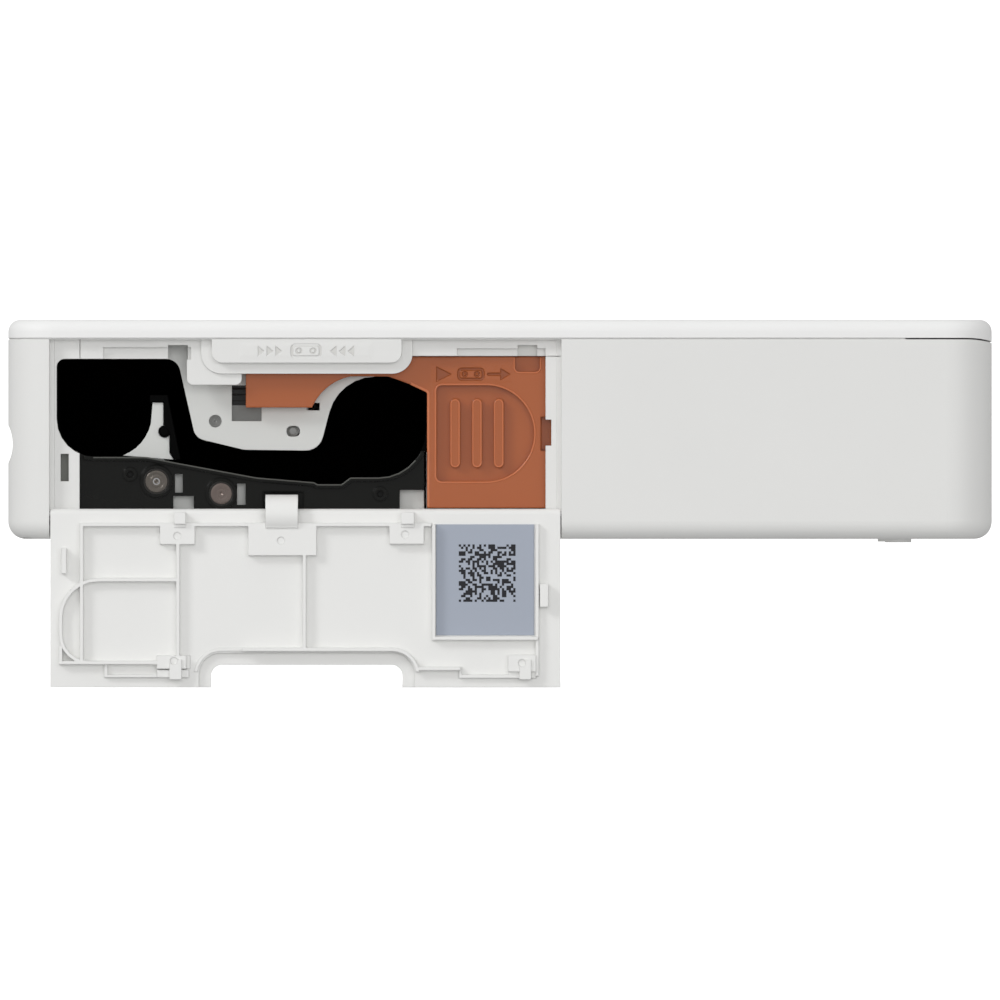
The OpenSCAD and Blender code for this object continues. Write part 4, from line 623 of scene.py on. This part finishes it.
# Corners of the mouth from the bay's left edge and lower edge, each with its radius
MOUTH = [
    (5.4, 0, 0), (13.3, 0, 6), (18.2, -0.95, 6), (29.6, -3.05, 8), (38.1, -3.75, 0.5), (38.6, -4.05, 0.5),
    (42.2, -4.05, 0.5), (43.5, -3.05, 0.7), (54.68, -3.05, 7), (54.68, 4.0, 0),
]
# The bead's grey is far lighter than the black guide's own colour: painted highlight.
bead_black_painted_highlight = moulded("bay_rim_painted_highlight", srgb(72, 73, 68), 0.3, depth=0.0, edge=0.0001, specular=0.8)
mouth_path = rounded_corners([(BAY_X0 + x, BAY_LOW + z, radius) for x, z, radius in MOUTH], closed=False)
mouth_path = mouth_path[mouth_path[:, 1] < BAY_LOW + 0.3] - (0, 0.11)
bead("bay_mouth_rim", mouth_path, GUIDE_Y, "chassis", bead_black_painted_highlight, "bay_black", width=0.22, height=0.06, closed=False)

# %% [markdown]
# ## Turned ends
#
# The rollers end in the black guide below the bay, and their faces show the rings that a lathe
# leaves. A turned end is one profile, radius against height, swept round the roller's axis as a grid.
# Rings drawn on a flat disc would look printed; real steps catch the light on one side only.


# %% Turned faces
FEW_TURNS = 12


def turned(name, middle, face_y, profile, body, material, slot, turns=72):
    """A sheet of revolution about Y: x = mx + r cos a, z = mz + r sin a, y = face - height(r).

    A face of a dozen turns or fewer keeps its flats, as a hexagon does."""
    radius, rise = np.array(profile, float).T
    angle = np.linspace(0, 2 * math.pi, turns, endpoint=False)
    r, a = np.meshgrid(radius, angle, indexing="ij")
    y = np.broadcast_to(face_y - rise[:, None], r.shape)
    points = np.stack([middle[0] + r * np.cos(a), y, middle[1] + r * np.sin(a)], axis=-1).reshape(-1, 3) * MM
    faces = grid_quads(len(radius), turns, wrap_columns=True, flip=True).tolist()
    piece = mesh_piece(name, points, faces + [list(range(turns))], body, material, slot)
    if turns > FEW_TURNS:
        piece.data.shade_smooth()
    print(name, "rings:", len(radius))


def middle_of(node):
    """The middle of a node's box in X and Z, in millimetres."""
    low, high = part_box(node)
    return (low[0] + high[0]) / 2 / MM, (low[2] + high[2]) / 2 / MM


# %% Ends of the feed roller and the platen shaft
# A turned face lies this far before the roller's own end, in millimetres
END_LIFT = 0.02
# The end faces are darker copies of their shafts' metal: painted shade for the dim ends in the guide.
feed_face_painted_shade = metal("turned_face_painted_shade", (0.2, 0.18, 0.16, 1), 0.25)
platen_face_painted_shade = metal("coated_face_painted_shade", (0.27, 0.22, 0.2, 1), 0.3)
# Radius and height of each ring, from the middle outwards, in millimetres
FEED_RINGS = [
    (0.16, -0.1), (0.2, 0.03), (0.3, 0.04), (0.36, -0.02), (0.5, -0.03), (0.56, 0.03), (0.86, 0.05),
    (0.92, -0.02), (1.06, -0.03), (1.12, 0.03), (1.45, 0.05), (1.58, 0.03), (1.66, -0.03),
]
PLATEN_RINGS = [
    (0.1, -0.08), (0.14, 0.02), (0.6, 0.03), (0.66, 0.0), (0.74, 0.0), (0.8, 0.03), (1.2, 0.04), (1.5, 0.03),
    (1.62, -0.04),
]
turned("feed_roller_end", middle_of("feed_roller"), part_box("feed_roller")[0][1] / MM - END_LIFT, FEED_RINGS,
       "feed", feed_face_painted_shade, "steel")
turned("platen_end", middle_of("platen_shaft"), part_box("platen_shaft")[0][1] / MM - END_LIFT, PLATEN_RINGS,
       "platen", platen_face_painted_shade, "copper_steel")

# %% [markdown]
# ## Springs
#
# Two coil springs push the presser plate down on the paper, and a thin one pushes the eject lever
# back. The last coils of a compression spring are closed, so its pitch grows from one wire's
# thickness at the ends to more in the middle. A tube carried along such a helix is one surface of
# two parameters. It could stay rigid, but then the plate would cut through it.


# %% Coil springs
# Points round one turn of the helix, and points round the wire
COIL_STEPS, WIRE_SIDES = 24, 8


def coil(start, length, radius, wire, turns, axis):
    """A tube on a helix: at turn a and angle b round the wire, a point lies r + w cos b from the axis
    and h(a) + w sin b along it, where h rises slowly over the first and last turn and fast between."""
    side_a, side_b, along = np.roll(np.eye(3), -axis - 1, axis=0)
    steps, sides = turns * COIL_STEPS, WIRE_SIDES
    t = np.linspace(0, 1, steps)
    opening = np.clip(np.minimum(t, 1 - t) * turns, 0, 1) ** 2
    closed_length = 2 * wire * turns
    spread = np.cumsum(opening) / opening.sum() * (length - 2 * wire - closed_length)
    height = (wire + closed_length * t + spread)[:, None]
    around = np.linspace(0, 2 * math.pi, sides, endpoint=False)
    a, b = np.meshgrid(2 * math.pi * turns * t, around, indexing="ij")
    out = radius + wire * np.cos(b)
    points = (np.array(start) + (out * np.cos(a))[..., None] * side_a + (out * np.sin(a))[..., None] * side_b
              + (height + wire * np.sin(b))[..., None] * along)
    first_cap = np.arange(sides)
    caps = [first_cap.tolist(), (first_cap + (steps - 1) * sides)[::-1].tolist()]
    return points.reshape(-1, 3), grid_quads(steps, sides, wrap_columns=True, flip=True).tolist() + caps


def spring(name, node, starts, length, radius, wire, turns, axis, body, travel):
    """Coils in place of a node, riding on a body; the length less the travel is only printed."""
    parts = [coil(start, length, radius, wire, turns, axis) for start in starts]
    count = len(parts[0][0])
    points = np.concatenate([part[0] for part in parts]) * MM
    faces = [[corner + count * i for corner in face] for i, part in enumerate(parts) for face in part[1]]
    piece = mesh_piece(name, points, faces, body, finish["steel"], "steel")
    piece.data.shade_smooth()
    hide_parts(node)
    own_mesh(piece)
    print(name, "length:", round(length, 2), "to", round(length - travel, 2))


PRESSER_R, PRESSER_WIRE, PRESSER_TRAVEL = 2.9, 0.25, 3.0
LEVER_R, LEVER_WIRE, LEVER_TRAVEL = 0.42, 0.14, 4.0
low, high = (np.array(corner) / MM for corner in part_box("presser_springs"))
reach = PRESSER_R + PRESSER_WIRE
starts = [(x, (low[1] + high[1]) / 2, low[2]) for x in (low[0] + reach, high[0] - reach)]
spring("presser_coils", "presser_springs", starts, high[2] - low[2], PRESSER_R, PRESSER_WIRE, 5, 2,
       "lid", PRESSER_TRAVEL)
low, high = (np.array(corner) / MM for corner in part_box("eject_spring"))
starts = [(low[0], (low[1] + high[1]) / 2, (low[2] + high[2]) / 2)]
spring("lever_coil", "eject_spring", starts, high[0] - low[0], LEVER_R, LEVER_WIRE, 8, 0,
       "chassis", LEVER_TRAVEL)

# %% [markdown]
# ## Small things seen through the windows
#
# The windows of the head plate hold a pressed cover and the ends of two pins. They are fixed to the
# plate, so that the head swings free behind them: a piece that rode on the head would cut through
# the plate. A leaf behind the slot of the left catch and a keeper behind the slot of the upper hook
# close those slots. Each could be a solid of its own, but only its front shows, so a sheet does.


# %% Pin ends
# The pieces in the windows lie this far before the heat sink, in millimetres
WINDOW_GAP = 0.1
WINDOW_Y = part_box("head_sink")[0][1] / MM - WINDOW_GAP
LEFT_PIN_RINGS = [(0.12, -0.05), (0.16, 0.08), (0.34, 0.1), (0.4, 0.02), (0.62, 0.0), (0.68, -0.06), (1.0, -0.08)]
RIGHT_PIN_RINGS = [(0.1, 0.1), (0.5, 0.08), (0.62, 0.0), (0.7, -0.06), (0.85, -0.08)]
bright = metal("pin_steel", (0.42, 0.42, 0.41, 1), 0.32)
turned("head_pin_left", (-42.2, 17.5), WINDOW_Y, LEFT_PIN_RINGS, "chassis", bright, "steel", turns=6)
turned("head_pin_right", (-30.7, 16.0), WINDOW_Y, RIGHT_PIN_RINGS, "chassis", bright, "steel")


# %% Head cover, leaf and keeper
SHEET_CELL = 0.1


def waved(name, x_range, z_range, wave, body, material, slot):
    """A sheet over a rectangle in X and Z, whose Y is a function of both."""
    x, z = face_grid(x_range, z_range, SHEET_CELL)
    sheet_piece(name, x, z, wave(x, z), body, material, slot)


def cover_height(x, z):
    """Flat below, with shallow rounded beads above, as the square of a sine of the height."""
    beads = np.where(z > COVER_FOLD, np.sin((z - COVER_FOLD) * math.pi / BEAD_PITCH) ** 2, 0.0)
    return WINDOW_Y - BEAD_RISE * beads


def leaf_height(x, z):
    """A leaf that is bowed a little across X, as a cosine."""
    return -47.64 - 0.03 * np.cos((x + 64.4) * 0.8)


def keeper_height(x, z):
    """A keeper that is bowed a little across Z, as a cosine."""
    return -47.62 - 0.03 * np.cos((z - 28.2) * 1.1)


BEAD_PITCH, BEAD_RISE = 0.9, 0.1
COVER_X, COVER_LOW, COVER_FOLD, COVER_HIGH = (-40.2, -34.9), 17.1, 19.8, 22.9
cover_steel = metal("cover_sheet", (0.3, 0.3, 0.29, 1), 0.4, (2200, 300, 900), depth=0.00001)
cover_dark = metal("cover_blued", (0.05, 0.05, 0.05, 1), 0.3, (300, 300, 4000))
leaf_grey = moulded("leaf_moulding", srgb(118, 119, 114), 0.45, depth=0.000003)
waved("head_cover", COVER_X, (COVER_LOW, COVER_FOLD), cover_height, "chassis", cover_steel, "steel")
waved("head_beads", COVER_X, (COVER_FOLD, COVER_HIGH), cover_height, "chassis", cover_dark, "steel")
waved("catch_leaf", (-66.2, -62.6), (8.2, 13.0), leaf_height, "chassis", leaf_grey, "tray_grey")
waved("hook_keeper", (2.0, 6.6), (27.12, 29.4), keeper_height, "chassis", finish["rail_grey"], "rail_grey")

# %% [markdown]
# ## The lip in the seam
#
# A low lip on the rim of the case centres the lid and keeps light out of the seam, so the seam
# reads as a soft grey line and not as a black one. It is one small section carried along the
# rounded outline of the case, a hair inside its face, and it ends where the lid turns.

# %% Lip along the rim
LID_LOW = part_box("paper_lid")[0]
CASE_LOW, CASE_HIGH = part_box("bottom_case")
RIM_Z = CASE_HIGH[2] / MM
CORNER_R = 6.6
# The lip lies this far inside the face of the case, starts this far below the rim, and ends short of
# the lid's hinge
LIP_INSET = 0.16
LIP_SINK = 0.02
LIP_END_X = 60.0


def rounded_path(inset, steps=16):
    """Points in X and Y from the near side round the left end to the far side: two lines and two quarter
    circles, all at the same inset from the case's outline."""
    x0 = CASE_LOW[0] / MM + inset
    y0, y1 = CASE_LOW[1] / MM + inset, -CASE_LOW[1] / MM - inset
    r = CORNER_R - inset
    turn = np.linspace(0, math.pi / 2, steps)
    near_corner = np.stack([x0 + r - r * np.sin(turn), y0 + r - r * np.cos(turn)], axis=1)
    far_corner = np.stack([x0 + r - r * np.cos(turn), y1 - r + r * np.sin(turn)], axis=1)
    return np.vstack([[LIP_END_X, y0], near_corner, far_corner, [LIP_END_X, y1]])


def rim_lip(width=0.5, height=0.16):
    """A rectangle of width by height carried along the path: four rails of points, joined by quads and
    closed by two ends."""
    outer, inner = rounded_path(LIP_INSET), rounded_path(LIP_INSET + width)
    count = len(outer)
    low, high = np.full((count, 1), RIM_Z - LIP_SINK), np.full((count, 1), RIM_Z + height)
    rails = [np.hstack(rail) for rail in ((outer, low), (outer, high), (inner, high), (inner, low))]
    faces = grid_quads(4, count, wrap_rows=True, flip=True).tolist()
    faces += [[0, 3 * count, 2 * count, count], [count - 1, 2 * count - 1, 3 * count - 1, 4 * count - 1]]
    mesh_piece("rim_lip", np.vstack(rails) * MM, faces, "chassis", finish["case_white"], "case_white")


rim_lip()
print("rim at", round(RIM_Z, 2), "lid from", round(LID_LOW[2] / MM, 2))

# %% [markdown]
# ## Floor, backdrop and light
#
# The door hangs lower than the feet, so the floor lies just under the door. The floor curves up
# behind the printer into a backdrop, with no corner to draw a line across the picture. Its paper
# glows a little, so that it stays plain and pale, and is seen only from its front: a camera that
# stands behind it looks through it.

# %% Floor and backdrop
FLOOR_Z = CAD_BOX[0][2] - 0.2 * MM


def cove(half_width=2.5, front=-6.0, back=0.5, radius=0.35, height=1.2):
    """A sheet carried along X: flat, then a quarter circle, then upright, as one profile in Y and Z."""
    turn = np.linspace(0, math.pi / 2, 24)
    y = np.concatenate([[front], back + radius * np.sin(turn), [back + radius]])
    z = np.concatenate([[0.0], radius * (1 - np.cos(turn)), [height]]) + FLOOR_Z
    points = np.vstack([np.stack([np.full(y.shape, side * half_width), y, z], axis=1) for side in (-1, 1)])
    mesh = bpy.data.meshes.new("floor")
    mesh.from_pydata(points.tolist(), [], grid_quads(2, len(y), flip=True).tolist())
    mesh.shade_smooth()
    made = bpy.data.objects.new("floor", mesh)
    bpy.context.scene.collection.objects.link(made)
    return made


floor = cove()
paper = bpy.data.materials.new("backdrop_paper")
paper.use_nodes = True
sheet = paper.node_tree.nodes["Principled BSDF"]
sheet.inputs["Base Color"].default_value = (0.95, 0.95, 0.95, 1)
sheet.inputs["Roughness"].default_value = 0.9
sheet.inputs["Emission Color"].default_value = (1, 1, 1, 1)
sheet.inputs["Emission Strength"].default_value = 0.75
behind = add(paper.node_tree, "NewGeometry").outputs["Backfacing"]
clear = add(paper.node_tree, "BsdfTransparent").outputs[0]
one_sided = add(paper.node_tree, "MixShader", i0=behind, i1=sheet.outputs[0], i2=clear)
paper.node_tree.links.new(one_sided.outputs[0], paper.node_tree.nodes["Material Output"].inputs[0])
floor.data.materials.append(paper)
floor.visible_diffuse = False
floor.visible_glossy = False
print("floor at", round(FLOOR_Z / MM, 2), "mm")

# %% [markdown]
# ## Lights
#
# White plastic needs large soft sources, or its rounded edges turn into hard lines. A key light from
# the left shapes the edges and ribs, a wide one in front fills the recess and shows in no gloss, and
# a faint one lies over the lid. The world behind them is a little brighter above than below.


# %% Lights
def softbox(name, place, target, size, power, seen=True):
    """An area light that looks from a place at a target; 'seen' says whether it shows in reflections."""
    data = bpy.data.lights.new(name, "AREA")
    data.shape = "RECTANGLE"
    data.size, data.size_y = size
    data.energy = power
    lamp = bpy.data.objects.new(name, data)
    lamp.location = place
    lamp.visible_glossy = seen
    lamp.visible_camera = False
    lamp.rotation_euler = (Vector(target) - Vector(place)).to_track_quat("-Z", "Y").to_euler()
    bpy.context.scene.collection.objects.link(lamp)


softbox("key_softbox", (-1.2, -0.9, 0.9), (0, -0.05, 0.01), (0.45, 0.45), 8.0)
softbox("top_softbox", (0.1, -0.1, 1.2), (0, 0, 0.01), (1.2, 0.9), 0.6)
softbox("front_softbox", (0.2, -1.8, 0.15), (0, -0.05, 0.01), (1.6, 1.0), 12.0, seen=False)

world = bpy.data.worlds.new("studio")
bpy.context.scene.world = world
world.use_nodes = True
sky = world.node_tree
direction = add(sky, "TexCoord").outputs["Generated"]
height = add(sky, "SeparateXYZ", Vector=direction)
level = add(sky, "MapRange", Value=height.outputs[2], i1=-1.0, i2=0.5, i3=0.42, i4=0.58)
sky.links.new(level.outputs[0], sky.nodes["Background"].inputs["Strength"])
sky.nodes["Background"].inputs["Color"].default_value = (1, 1, 1, 1)
bpy.context.scene.view_settings.view_transform = "Standard"
print("lights:", len(bpy.data.lights))
